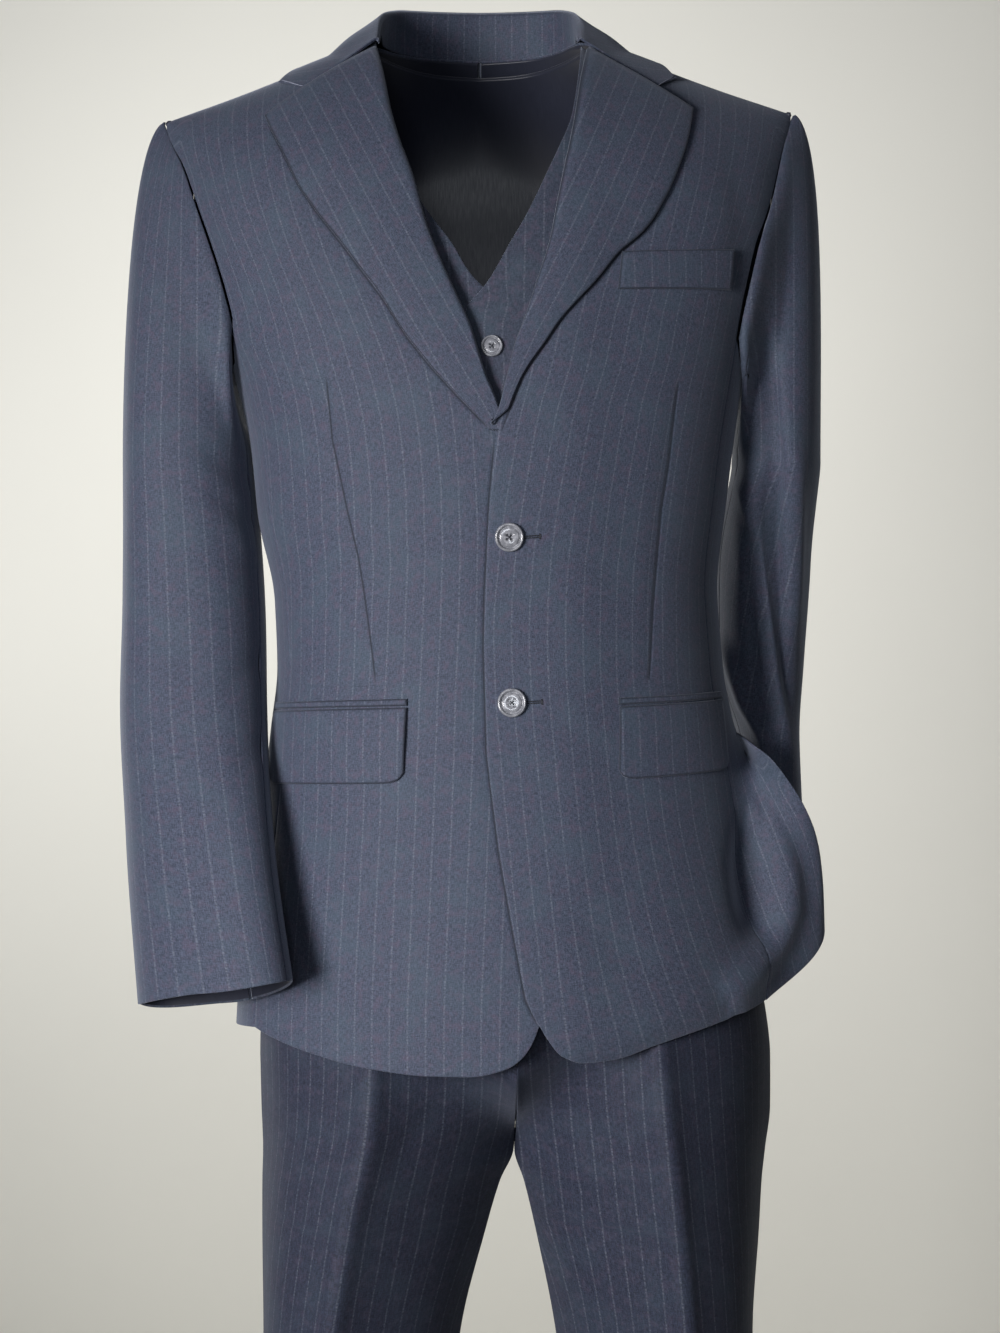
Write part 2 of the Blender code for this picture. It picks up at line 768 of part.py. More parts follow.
def jacket_buttons():
    for number, (x, z) in enumerate(JACKET_BUTTONS, 1):
        angle, height = seen(x, z)
        lift = LAP_LIFT + JACKET_WALL + BUTTON_CLEAR
        button("jacket_button_%d" % number, JACKET_BUTTON, (angle, height, lift))


# ------------------------------------------------------------------------------ jacket: sleeves

SLEEVE = {
    RIGHT: Table(
        "z x wide y deep turn",
        (-0.300, -0.2163, 0.0463, 0.010, 0.0660, 0.00),
        (-0.340, -0.2142, 0.0484, 0.010, 0.0630, 0.00),
        (-0.400, -0.2120, 0.0510, 0.006, 0.0590, 0.05),
        (-0.475, -0.2102, 0.0532, -0.014, 0.0540, 0.20),
        (-0.577, -0.2009, 0.0549, -0.058, 0.0470, 0.55),
        (-0.700, -0.1823, 0.0583, -0.108, 0.0400, 0.60),
    ),
    LEFT: Table(
        "z x wide y deep turn",
        (-0.300, 0.2296, 0.0310, 0.048, 0.0720, 0.00),
        (-0.370, 0.2225, 0.0345, 0.076, 0.0620, 0.00),
        (-0.450, 0.2212, 0.0313, 0.084, 0.0540, 0.00),
        (-0.510, 0.2255, 0.0211, 0.060, 0.0480, 0.00),
        (-0.580, 0.2268, 0.0194, 0.027, 0.0440, 0.00),
        (-0.650, 0.2295, 0.0195, 0.010, 0.0400, 0.00),
    ),
}

# The bent left arm pulls its sleeve into soft folds that run down the front to the vent.
Fold = namedtuple("Fold", "top low start end width out")
SLEEVE_FOLDS = (
    Fold(top=-0.240, low=-0.530, start=0.430, end=0.180, width=0.045, out=0.0030),
    Fold(top=-0.200, low=-0.540, start=0.345, end=0.195, width=0.040, out=-0.0045),
    Fold(top=-0.260, low=-0.450, start=0.240, end=0.150, width=0.040, out=0.0025),
)
SLEEVE_FRONT_SEAM = 0.45
SLEEVE_BACK_SEAM = 0.70


def armhole(side, u):
    """The armhole seam, from the shoulder tip down the front, under the arm and up the back."""
    front_end, back_start = 0.4, 0.6
    if u <= front_end:
        place = armhole_front(side).at(u / front_end)
    elif u <= back_start:
        place = armhole_under(side).at((u - front_end) / (back_start - front_end))
    else:
        place = armhole_back(side).at((1 - u) / (1 - back_start))
    return form_point(*place)


def sleeve_end(side, u):
    """The height of the sleeve's hem, which slants up to the inside and drops at the back."""
    turn = 2 * math.pi * u
    if side == LEFT:
        return -0.650 - 0.004 * math.cos(turn)
    back = 0.008 * max(-math.sin(turn), 0.0)
    return -0.683 - 0.012 * math.cos(turn) + 0.004 * math.sin(turn) - back


def fold_height(u, z):
    """How far the folds of the bent sleeve push its wall in or out."""
    total = 0.0
    for fold in SLEEVE_FOLDS:
        share = (fold.top - z) / (fold.top - fold.low)
        if 0 < share < 1:
            off = (u - mix(fold.start, fold.end, share)) / fold.width
            total += fold.out * math.exp(-off * off) * math.sin(math.pi * share) ** 0.6
    return total


def sleeve_ring(side, u, z):
    row = SLEEVE[side].at(z)
    turn = 2 * math.pi * u
    across = signed_power(math.cos(turn), 0.92)
    forward = signed_power(math.sin(turn), 0.92)
    x = row.x + side * row.wide * across
    y = row.y - row.deep * forward + row.turn * row.wide * across
    return Vector((x, y, z))


def sleeve_cap(side, u, t):
    """From the armhole seam, out over the upper arm and down to the top ring of the sleeve."""
    turn = 2 * math.pi * u
    crown = (1 + math.cos(turn)) / 2
    clear_above, clear_below = 0.0036, 0.0054
    start = armhole(side, u)
    start.x += side * (clear_above * crown ** 6 + clear_below * (1 - crown) ** 2)
    end = sleeve_ring(side, u, SLEEVE_RING_TOP)
    out = Vector((side * 0.072 * crown, -0.040 * math.sin(turn), -0.05 - 0.03 * (1 - crown)))
    into = Vector((0.0, 0.0, end.z - start.z))
    return hermite(start, out, end, into, t)


def sleeve_point(side, u, v):
    """The sleeve from the armhole seam to its hem."""
    if v < CAP_SHARE:
        point = sleeve_cap(side, u, v / CAP_SHARE)
    else:
        share = (v - CAP_SHARE) / (1 - CAP_SHARE)
        point = sleeve_ring(side, u, mix(SLEEVE_RING_TOP, sleeve_end(side, u), share))
    if side == LEFT:
        turn = 2 * math.pi * u
        point += Vector((math.cos(turn), -math.sin(turn), 0.0)) * fold_height(u, point.z)
    return point


def jacket_sleeve(side):
    """Top sleeve and under sleeve, parted by a seam under the front and one at the back."""
    def top(u, v):
        around = mix(SLEEVE_BACK_SEAM - 1, SLEEVE_FRONT_SEAM, u)
        return sleeve_point(side, around % 1.0, v)

    def under(u, v):
        return sleeve_point(side, mix(SLEEVE_FRONT_SEAM, SLEEVE_BACK_SEAM, u), v)

    name = SIDE_NAME[side]
    turned = side == LEFT
    columns = 20 if side == LEFT else 15
    sheet("jacket_top_sleeve_" + name, columns, 15, top, JACKET_WALL, turned, SLEEVE_INSET)
    sheet("jacket_under_sleeve_" + name, 5, 15, under, JACKET_WALL, turned, SLEEVE_INSET)


# ----------------------------------------------------------------------------------- waistcoat

WAISTCOAT_IN = Table(
    "z inside",
    (0.050, 0.0044),
    (0.000, 0.0036),
    (-0.060, 0.0050),
    (-0.150, 0.0080),
    (-0.420, 0.0080),
    (-0.520, 0.0142),
    (-0.555, 0.0142),
    (-0.605, 0.0110),
)
WAISTCOAT_SIDE = math.radians(92)
WAISTCOAT_UNDERARM = -0.250
WAISTCOAT_LAP = WAISTCOAT_WALL + 0.0014

VEST_V = {
    RIGHT: ((-0.0700, -0.020), (-0.0560, -0.075), (-0.0427, -0.110), (-0.0135, -0.1527),
            (-0.0075, -0.1640)),
    LEFT: ((0.0760, -0.020), (0.0700, -0.055), (0.0553, -0.089), (0.0406, -0.121),
           (0.0242, -0.151), (0.006, -0.1825), (-0.0075, -0.2050)),
}


def on_waistcoat(angle, z, out=0.0):
    return on_form(angle, z, out - WAISTCOAT_IN.at(z).inside - WAISTCOAT_WALL)


def waistcoat_lift(x):
    return WAISTCOAT_LAP * (1 - ease(0.048, 0.088, x))


def waistcoat_armhole(side):
    top_x = side * 0.150 + BODY_MIDDLE
    top = (angle_at(top_x, 0.0), shoulder_height(top_x))
    return Line(top, (side * math.radians(42), -0.080), (side * math.radians(46), -0.150),
                (side * math.radians(62), -0.215), (side * WAISTCOAT_SIDE, WAISTCOAT_UNDERARM),
                crowd=1.6)


def waistcoat_front(side):
    neck_x = side * 0.078 + BODY_MIDDLE
    neck = Vector((angle_at(neck_x, 0.0), shoulder_height(neck_x)))
    foot = seen(0.034 if side == RIGHT else -0.0045, -0.560)
    start = seen(0.034, -0.215) if side == RIGHT else seen(-0.0045, -0.225)
    neckline = Line(neck, *[seen(x, z) for x, z in VEST_V[side]], start, crowd=1.4)
    inner = Chain((0.5, neckline), (0.5, Line(start, foot)))
    low = side * WAISTCOAT_SIDE
    outer = Chain((0.5, waistcoat_armhole(side)),
                  (0.5, Line((low, WAISTCOAT_UNDERARM), (low, -0.550))))
    tip = waistcoat_armhole(side).at(0)

    def along_shoulder(share):
        angle = mix(neck[0], tip[0], share)
        return Vector((angle, shoulder_height(form_point(angle, 0.0).x)))

    top = Rule(along_shoulder)
    point = seen(side * 0.055 + BODY_MIDDLE, -0.605)
    bottom = Line(foot, point, (side * math.radians(55), -0.565),
                  (side * WAISTCOAT_SIDE, -0.550))
    plan = patch(inner, outer, top, bottom)

    def place(u, v):
        angle, z = plan(u, v)
        if side == RIGHT:
            return on_waistcoat(angle, z)
        return on_waistcoat(angle, z, waistcoat_lift(form_point(angle, z).x))

    return sheet("waistcoat_front_" + SIDE_NAME[side], 8, 12, place, WAISTCOAT_WALL,
                 flip=side == RIGHT)


def waistcoat_back():
    """The back, in one piece from side seam to side seam; u runs from the right to the left."""
    neck_low = 0.010
    hem = -0.550
    neck_share = 0.40
    neck_x = 0.078

    def half_plan(side):
        middle = side * math.pi
        neck_angle = middle - angle_at(side * neck_x + BODY_MIDDLE, 0.0)
        front = waistcoat_armhole(side)
        low = side * WAISTCOAT_SIDE

        def armhole_line(share):
            angle, z = front.at(share)
            return Vector((mix(middle - angle, low, share ** 3), z))

        def along_top(share):
            if share < neck_share:
                part = share / neck_share
                high = shoulder_height(side * neck_x + BODY_MIDDLE)
                return Vector((mix(middle, neck_angle, part), mix(neck_low, high, part * part)))
            part = (share - neck_share) / (1 - neck_share)
            angle = mix(neck_angle, armhole_line(0)[0], part)
            return Vector((angle, shoulder_height(form_point(angle, 0.0).x)))

        side_line = Line((low, WAISTCOAT_UNDERARM), (low, hem))
        outer = Chain((0.5, Rule(armhole_line)), (0.5, side_line))
        inner = Line((middle, neck_low), (middle, hem), crowd=1.3)
        return patch(inner, outer, Rule(along_top), Line((middle, hem), (low, hem)))

    plans = {side: half_plan(side) for side in (RIGHT, LEFT)}

    def place(u, v):
        side = RIGHT if u < 0.5 else LEFT
        return on_waistcoat(*plans[side](abs(2 * u - 1), v))

    return sheet("waistcoat_back", 14, 12, place, WAISTCOAT_WALL, flip=True)


def waistcoat_buttons():
    first = -0.2247
    apart = 0.078
    for number in range(5):
        z = first - apart * number
        angle, height = seen(0.0123, z)
        lift = WAISTCOAT_LAP + BUTTON_CLEAR - WAISTCOAT_IN.at(z).inside
        button("waistcoat_button_%d" % (number + 1), WAISTCOAT_BUTTON, (angle, height, lift))


# ------------------------------------------------------------------------------------ trousers

TROUSER_IN = Table(
    "z inside",
    (-0.520, 0.0190),
    (-0.556, 0.0190),
    (-0.605, 0.0195),
    (-0.650, 0.0210),
    (-0.700, 0.0185),
    (-0.740, 0.0165),
    (-0.816, 0.0165),
)
LEG = Table(
    "z middle inner crease outer front back",
    (-0.740, 0.0300, 0.0003, 0.1040, 0.1900, 0.1060, 0.1080),
    (-0.780, 0.0300, 0.0019, 0.1060, 0.1895, 0.1090, 0.1110),
    (-0.812, 0.0285, 0.0024, 0.1110, 0.1870, 0.1090, 0.1130),
    (-0.835, 0.0270, 0.0095, 0.1150, 0.1860, 0.1070, 0.1120),
    (-0.870, 0.0260, 0.0190, 0.1200, 0.1850, 0.1045, 0.1100),
    (-0.951, 0.0240, 0.0370, 0.1290, 0.1820, 0.0960, 0.1040),
    (-1.170, 0.0245, 0.0600, 0.1350, 0.1840, 0.0850, 0.0880),
    (-1.575, 0.0250, 0.0900, 0.1400, 0.1900, 0.0750, 0.0750),
)
CREASE_ANGLE = math.radians(31)
LEG_BOW = 0.012


def trouser_point(side, behind, u, z):
    """A point of a leg's front or back: u is 0 at the inside, 0.5 on the crease, 1 at the side."""
    leg = LEG.at(z)
    away = 1 if behind else -1
    if u < 0.5:
        angle = CREASE_ANGLE * 2 * u
    else:
        angle = mix(CREASE_ANGLE, math.pi / 2, 2 * u - 1)
    if behind:
        angle = math.pi - angle
    hip = on_form(side * angle, z, -TROUSER_IN.at(z).inside)
    depth = leg.back if behind else leg.front
    if u < 0.5:
        share = 2 * u
        bow = LEG_BOW * math.sin(math.pi * share)
        across = mix(leg.inner, leg.crease, share) - bow
        deep = depth * share + 0.5 * bow
    else:
        share = 2 * u - 1
        bow = LEG_BOW * math.sin(math.pi * share)
        across = mix(leg.crease, leg.outer, share) + bow
        deep = depth * (1 - share) + 0.8 * bow
    across = max(across, leg.inner)
    high = mix(-0.735, -0.620, min(2 * u, 1.0))
    weight = ease(high, CROTCH, z)
    hip_across = max(side * (hip.x - leg.middle), leg.inner)
    x = leg.middle + side * mix(hip_across, across, weight)
    return Vector((x, mix(hip.y, away * deep, weight), z))


def trouser_panel(side, behind):
    def place(u, v):
        return trouser_point(side, behind, u, trouser_height(v))

    name = "trouser_%s_%s" % ("back" if behind else "front", SIDE_NAME[side])
    return sheet(name, 8, 18, place, TROUSER_WALL, flip=(side == RIGHT) != behind)


def trouser_height(v):
    rows = ((0.0, WAIST_SEAM), (0.22, -0.720), (0.60, -0.860), (1.0, TROUSER_HEM))
    for (low, high_z), (high, low_z) in zip(rows, rows[1:]):
        if v <= high + 1e-9:
            return mix(high_z, low_z, (v - low) / (high - low))
    return TROUSER_HEM


def waistband():
    opening = math.radians(0.15)

    def place(u, v):
        z = mix(WAIST_TOP, WAIST_SEAM + GAP, v)
        point = on_form(mix(opening, 2 * math.pi - opening, u), z, -TROUSER_IN.at(z).inside)
        point.z = z
        return point

    return sheet("trouser_waistband", 36, 1, place, TROUSER_WALL)


def build():
    for side in (RIGHT, LEFT):
        jacket_front(side)
        jacket_side(side)
        jacket_back(side)
        jacket_lapel(side)
        jacket_sleeve(side)
        waistcoat_front(side)
        for behind in (False, True):
            trouser_panel(side, behind)
    jacket_collar()
    jacket_pockets()
    jacket_buttons()
    waistcoat_back()
    waistcoat_buttons()
    waistband()


def main():
    for old in list(bpy.data.objects):
        bpy.data.objects.remove(old, do_unlink=True)
    group = bpy.data.collections.new(COLLECTION)
    bpy.context.scene.collection.children.link(group)
    build()


main()
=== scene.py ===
# %% [markdown]
# # A three-piece pinstripe suit, worn and empty
#
# A tailor cuts flat pieces of wool and sews them into a shape that only exists when somebody fills
# it. Here nobody does: each cut piece is a thin curved sheet that keeps the shape of the wearer.
# The rough solids of the suit are already in the frame. This script lays a finer sheet of cloth
# over each one, weaves the pinstripe into it, and sews on the buttons. Lengths are metres, the
# front faces -Y and the wearer's left is +X.

# %% Load the frame
import math
from collections import namedtuple
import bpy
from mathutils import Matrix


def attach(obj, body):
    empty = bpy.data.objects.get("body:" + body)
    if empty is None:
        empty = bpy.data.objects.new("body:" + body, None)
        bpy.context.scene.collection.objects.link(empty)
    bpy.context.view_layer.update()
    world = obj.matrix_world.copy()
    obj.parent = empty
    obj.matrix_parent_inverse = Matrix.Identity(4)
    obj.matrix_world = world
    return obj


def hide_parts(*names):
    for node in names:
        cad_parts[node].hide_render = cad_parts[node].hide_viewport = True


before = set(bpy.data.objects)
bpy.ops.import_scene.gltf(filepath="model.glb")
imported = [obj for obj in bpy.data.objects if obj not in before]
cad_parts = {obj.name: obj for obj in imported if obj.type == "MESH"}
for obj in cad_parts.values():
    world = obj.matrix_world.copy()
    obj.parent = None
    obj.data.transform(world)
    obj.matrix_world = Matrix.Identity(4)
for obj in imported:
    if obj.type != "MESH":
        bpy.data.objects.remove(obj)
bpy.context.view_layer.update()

from types import SimpleNamespace

import bmesh
import bpy
import numpy as np
from mathutils import Matrix, Vector

# %% [markdown]
# ## Named sizes
#
# Cloth is about 2 mm thick in a lined jacket and thinner in a waistcoat or trousers. Layers that
# lie on each other stand a hair apart. All of these could be typed where they are used, but a name
# says what a number means and lets one change reach every piece.

# %% Sizes of the suit
JACKET_WALL = 0.0020
WAISTCOAT_WALL = 0.0016
TROUSER_WALL = 0.0015
FLAP_WALL = 0.0018
WELT_WALL = 0.0016
JET_WALL = 0.0012
GAP = 0.0003
LAP_LIFT = JACKET_WALL + 0.0009
LAPEL_LIFT = JACKET_WALL + 0.0014
POCKET_LIFT = JACKET_WALL + 0.0011
LEAF_LIFT = JACKET_WALL + 0.0018
LAPEL_SHARE = 0.95
STAND_SHARE = 0.375

# Body form
SHOULDER_ROUND = 0.110
SHOULDER_TILT = 0.013
BODY_MIDDLE = 0.002

# Lengths and seam places
NECK_X = 0.075
NECK_BACK = 0.018
FRONT_SEAM = math.radians(66)
BACK_SEAM = math.radians(112)
SEAM_KNEE = -0.300
UNDERARM = -0.228
UNDERARM_FROM, UNDERARM_TO = math.radians(76), math.radians(97)
VENT_TOP = -0.470
JACKET_HEM_BACK = -0.735
CAP_SHARE = 0.42
SLEEVE_RING_TOP = -0.300
WAIST_TOP = -0.520
WAIST_SEAM = -0.5555
CROTCH = -0.810
TROUSER_HEM = -1.575

# Buttons
JACKET_BUTTON = 0.0205
WAISTCOAT_BUTTON = 0.0155
BUTTON_CLEAR = 0.0003

RIGHT, LEFT = -1, 1
SIDE_NAME = {RIGHT: "right", LEFT: "left"}

# %% [markdown]
# ## Reading a size between two rows
#
# A pattern drafter writes down the body's width and depth at a dozen heights and lets the curve
# between them run smoothly. A spline object could do it, but a table with a smooth step from row to
# row never swings past the sizes that were written down. It is sampled once, so that thousands of
# points can be read from it quickly.

# %% Tables and lines
SAMPLES = 600


class Table:
    """Rows of named sizes in order of the first column, read between rows on a smooth curve."""

    def __init__(self, names, *rows):
        self.names = names.split()
        self.rows = sorted(rows)
        self.samples = None

    def slope(self, index, column):
        rows = self.rows
        steps = []
        for start in (index - 1, index):
            if 0 <= start < len(rows) - 1:
                span = rows[start + 1][0] - rows[start][0]
                steps.append((rows[start + 1][column] - rows[start][column]) / span)
        if len(steps) == 1:
            return steps[0]
        if steps[0] * steps[1] <= 0:
            return 0.0
        return 2 * steps[0] * steps[1] / (steps[0] + steps[1])

    def exact(self, key):
        rows = self.rows
        upper = 1
        while rows[upper][0] < key:
            upper += 1
        lower = upper - 1
        span = rows[upper][0] - rows[lower][0]
        t = (key - rows[lower][0]) / span
        values = []
        for column in range(len(self.names)):
            out = self.slope(lower, column) * span
            into = self.slope(upper, column) * span
            values.append(hermite(rows[lower][column], out, rows[upper][column], into, t))
        return values

    def at(self, key):
        low, high = self.rows[0][0], self.rows[-1][0]
        if self.samples is None:
            keys = np.linspace(low, high, SAMPLES + 1)
            self.samples = [self.exact(min(step, high)) for step in keys]
        place = min(max((key - low) / (high - low), 0.0), 1.0) * SAMPLES
        index = min(int(place), SAMPLES - 1)
        part = place - index
        below, above = self.samples[index], self.samples[index + 1]
        pairs = zip(self.names, below, above)
        return SimpleNamespace(**{name: a + (b - a) * part for name, a, b in pairs})


def hermite(start, out, end, into, t):
    """A smooth step from start to end that leaves and arrives with the given slopes."""
    rise = t * t * (3 - 2 * t)
    return start * (1 - rise) + end * rise + out * t * (1 - t) ** 2 - into * t * t * (1 - t)


def mix(start, end, share):
    return start + (end - start) * share


def ease(low, high, value):
    """0 at low, 1 at high and a soft rise between."""
    share = min(max((value - low) / (high - low), 0.0), 1.0)
    return share * share * (3 - 2 * share)


class Line:
    """A smooth line through points, read at a share of its length, crowded towards its start."""

    def __init__(self, *points, crowd=1.0):
        self.crowd = crowd
        self.points = [Vector(point) for point in points]
        travelled = [0.0]
        for before, after in zip(self.points, self.points[1:]):
            travelled.append(travelled[-1] + (after - before).length)
        rows = []
        for distance, point in zip(travelled, self.points):
            rows.append((distance / travelled[-1], *point))
        self.size = len(self.points[0])
        self.table = Table("share " + " ".join("abc"[:self.size]), *rows)

    def at(self, share):
        row = self.table.at(share ** self.crowd)
        return Vector([getattr(row, name) for name in "abc"[:self.size]])


class Chain:
    """Lines end to end, each with its own share of the whole."""

    def __init__(self, *parts):
        self.parts = parts

    def at(self, share):
        start = 0.0
        for length, line in self.parts:
            if share <= start + length + 1e-9:
                return line.at(min((share - start) / length, 1.0))
            start += length
        return self.parts[-1][1].at(1.0)


class Rule:
    """A line worked out by a function of its share."""

    def __init__(self, function):
        self.at = function

# %% [markdown]
# ## The body inside the suit
#
# The suit hangs on a form: rings that are rounder than an ellipse, one for each height, under a
# shoulder line that slopes to each side. A place on it is an angle round the form and a height,
# and the cloth lies a set distance out from it.

# %% The body form
TORSO = Table(
    "z middle half front back power",
    (0.050, 0.002, 0.232, 0.076, 0.104, 2.3),
    (-0.044, 0.002, 0.232, 0.088, 0.114, 2.3),
    (-0.100, 0.003, 0.223, 0.102, 0.120, 2.3),
    (-0.150, 0.005, 0.212, 0.114, 0.121, 2.3),
    (-0.200, 0.006, 0.198, 0.122, 0.118, 2.3),
    (-0.240, 0.010, 0.187, 0.126, 0.118, 2.3),
    (-0.2885, 0.012, 0.178, 0.127, 0.114, 2.25),
    (-0.338, 0.0115, 0.1725, 0.126, 0.108, 2.2),
    (-0.400, 0.015, 0.1635, 0.123, 0.102, 2.2),
    (-0.450, 0.018, 0.1645, 0.123, 0.098, 2.15),
    (-0.498, 0.020, 0.1715, 0.126, 0.104, 2.1),
    (-0.580, 0.0235, 0.1845, 0.130, 0.120, 2.0),
    (-0.640, 0.025, 0.1945, 0.132, 0.130, 2.0),
    (-0.687, 0.026, 0.2015, 0.134, 0.136, 2.0),
    (-0.740, 0.028, 0.2065, 0.135, 0.139, 2.0),
)

SHOULDER = Table(
    "reach height",
    (0.000, 0.046),
    (0.040, 0.036),
    (0.075, 0.0165),
    (0.132, -0.0065),
    (0.180, -0.0245),
    (0.230, -0.0410),
)


def signed_power(value, power):
    return math.copysign(abs(value) ** power, value)


def shoulder_height(x):
    return SHOULDER.at(abs(x - BODY_MIDDLE)).height + SHOULDER_TILT * x


def form_point(angle, z):
    """The point of the body form at an angle round it and a height."""
    ring = TORSO.at(z)
    across = signed_power(math.sin(angle), 2 / ring.power)
    deep = signed_power(math.cos(angle), 2 / ring.power)
    x = ring.middle + ring.half * across
    drop = min(max((shoulder_height(x) - z) / SHOULDER_ROUND, 0.0), 1.0)
    depth = ring.front if deep > 0 else ring.back
    return Vector((x, -depth * deep * math.sqrt(1 - (1 - drop) ** 2), z))


def crown_point(angle, z, lean):
    """A point of the form's round top: lean is 0 along the shoulder and a right angle below it."""
    ring = TORSO.at(z)
    x = ring.middle + ring.half * signed_power(math.sin(angle), 2 / ring.power)
    deep = signed_power(math.cos(angle), 2 / ring.power)
    depth = ring.front if deep > 0 else ring.back
    height = shoulder_height(x) - SHOULDER_ROUND * (1 - math.cos(lean))
    return Vector((x, -depth * deep * math.sin(lean), height))


def on_form(angle, z, out=0.0):
    """A point out from the body form, square to it."""
    point = form_point(angle, z)
    if not out:
        return point
    turn = math.radians(1.5)
    drop = (shoulder_height(point.x) - z) / SHOULDER_ROUND
    if drop < 1:
        lean = math.acos(1 - max(drop, 0.0))
        around = crown_point(angle + turn, z, lean) - crown_point(angle - turn, z, lean)
        upward = crown_point(angle, z, lean - turn) - crown_point(angle, z, lean + turn)
    else:
        step = 0.004
        around = form_point(angle + turn, z) - form_point(angle - turn, z)
        upward = form_point(angle, z + step) - form_point(angle, z - step)
    return point + around.cross(upward).normalized() * out


def angle_at(x, z, behind=False):
    """The angle at which the form has a given x, in front or behind."""
    ring = TORSO.at(z)
    share = min(max((x - ring.middle) / ring.half, -1.0), 1.0)
    angle = math.asin(signed_power(share, ring.power / 2))
    if behind:
        return math.copysign(math.pi, x - ring.middle) - angle
    return angle


def seen(x, z, behind=False):
    """A place on the form, angle and height, from where it is seen square on."""
    return (angle_at(x, z, behind), z)


def patch(inner, outer, top, bottom):
    """A sheet between four lines: u runs from inner to outer and v from top to bottom."""
    corner_a, corner_b = inner.at(0), outer.at(0)
    corner_c, corner_d = inner.at(1), outer.at(1)

    def place(u, v):
        sides = mix(inner.at(v), outer.at(v), u)
        ends = mix(top.at(u), bottom.at(u), v)
        corners = mix(mix(corner_a, corner_b, u), mix(corner_c, corner_d, u), v)
        return sides + ends - corners

    return place


print("chest of the form: %d mm wide" % (2000 * TORSO.at(-0.24).half))

# %% [markdown]
# ## Wiring a finish
#
# A finish is a network of nodes. Wiring each by hand hides the idea, so a small class lets a socket
# take part in ordinary arithmetic: a sum of two sockets adds the Math node that makes it.
# Everything else comes from one method that makes a node, sets it and fills its sockets.

# %% Arithmetic on sockets
class Number:
    """A socket that carries a number or a colour, with the arithmetic that adds Math nodes."""

    def __init__(self, finish, socket):
        self.finish = finish
        self.socket = socket

    def __add__(self, other):
        return self.finish.maths("ADD", self, other)

    __radd__ = __add__

    def __sub__(self, other):
        return self.finish.maths("SUBTRACT", self, other)

    def __rsub__(self, other):
        return self.finish.maths("SUBTRACT", other, self)

    def __mul__(self, other):
        return self.finish.maths("MULTIPLY", self, other)

    __rmul__ = __mul__

    def __truediv__(self, other):
        return self.finish.maths("DIVIDE", self, other)

    def __abs__(self):
        return self.finish.maths("ABSOLUTE", self)


class Finish:
    """A material that is wired by adding nodes."""

    def __init__(self, name):
        self.material = bpy.data.materials.new(name)
        self.material.use_nodes = True
        self.tree = self.material.node_tree
        self.shader = self.tree.nodes["Principled BSDF"]

    def add(self, kind, settings=None, inputs=None, output=0):
        node = self.tree.nodes.new(kind)
        for name, value in (settings or {}).items():
            setattr(node, name, value)
        for name, value in (inputs or {}).items():
            if isinstance(value, Number):
                self.tree.links.new(value.socket, node.inputs[name])
            else:
                node.inputs[name].default_value = value
        return Number(self, node.outputs[output])

    def maths(self, operation, *values):
        return self.add("ShaderNodeMath", {"operation": operation}, dict(enumerate(values)))

    def rise(self, value, low, high):
        """0 below low, 1 above high and a soft step between."""
        return self.add("ShaderNodeMapRange", {"interpolation_type": "SMOOTHSTEP"},
                        {"Value": value, "From Min": low, "From Max": high})

    def blend(self, share, first, second):
        return self.add("ShaderNodeMix", {"data_type": "RGBA"},
                        {0: share, 6: first, 7: second}, output=2)

    def noise(self, place, scale, detail=2.0, roughness=0.5):
        return self.add("ShaderNodeTexNoise", {}, {"Vector": place, "Scale": scale,
                        "Detail": detail, "Roughness": roughness})

    def layer(self, name):
        """The flat places in one layer of a piece, and their two numbers apart."""
        place = self.add("ShaderNodeUVMap", {"uv_map": name})
        return [place, *(self.add("ShaderNodeSeparateXYZ", {}, {0: place}, output=number)
                         for number in (0, 1))]

    def feed(self, **values):
        for name, value in values.items():
            socket = self.shader.inputs[name.replace("_", " ")]
            if isinstance(value, Number):
                self.tree.links.new(value.socket, socket)
            else:
                socket.default_value = value
        return self.material

# %% [markdown]
# ## Laying a curved piece flat again
#
# The stripe is woven into flat cloth, so on the suit it has to run where the flat piece had it.
# Blender could unwrap each mesh, but a tailor's way is as short: take the lattice of a curved
# piece, lay it on the table roughly, and let springs pull every edge and diagonal back to its true
# length. What comes out is the pattern piece, in metres, with the stripe straight up it. It also
# says how much cloth shows.

# %% Flattening
FLAT_COLUMNS, FLAT_ROWS = 17, 25
FLAT_ROUNDS, WOVEN_ROUNDS = 300, 8
SPRING_PULL = 0.25


def curve_weights(shares, steps):
    """Weights that read a row of steps + 1 points at any shares of it, on a smooth curve."""
    weights = np.zeros((len(shares), steps + 1))
    for row, share in enumerate(shares):
        first = min(int(share * steps), steps - 1)
        t = share * steps - first
        four = ((2 * t * t - t - t ** 3) / 2, (2 - 5 * t * t + 3 * t ** 3) / 2,
                (t + 4 * t * t - 3 * t ** 3) / 2, (t ** 3 - t * t) / 2)
        for index, weight in zip(range(first - 1, first + 3), four):
            if index < 0:
                weights[row, 0] += 2 * weight
                weights[row, 1] -= weight
            elif index > steps:
                weights[row, steps] += 2 * weight
                weights[row, steps - 1] -= weight
            else:
                weights[row, index] += weight
    return weights


def read_lattice(lattice, us, vs):
    """A lattice of rows and columns, read smoothly at other shares across and down."""
    across = curve_weights(us, lattice.shape[1] - 1)
    down = curve_weights(vs, lattice.shape[0] - 1)
    return np.einsum("rj,ci,jik->rck", down, across, lattice)


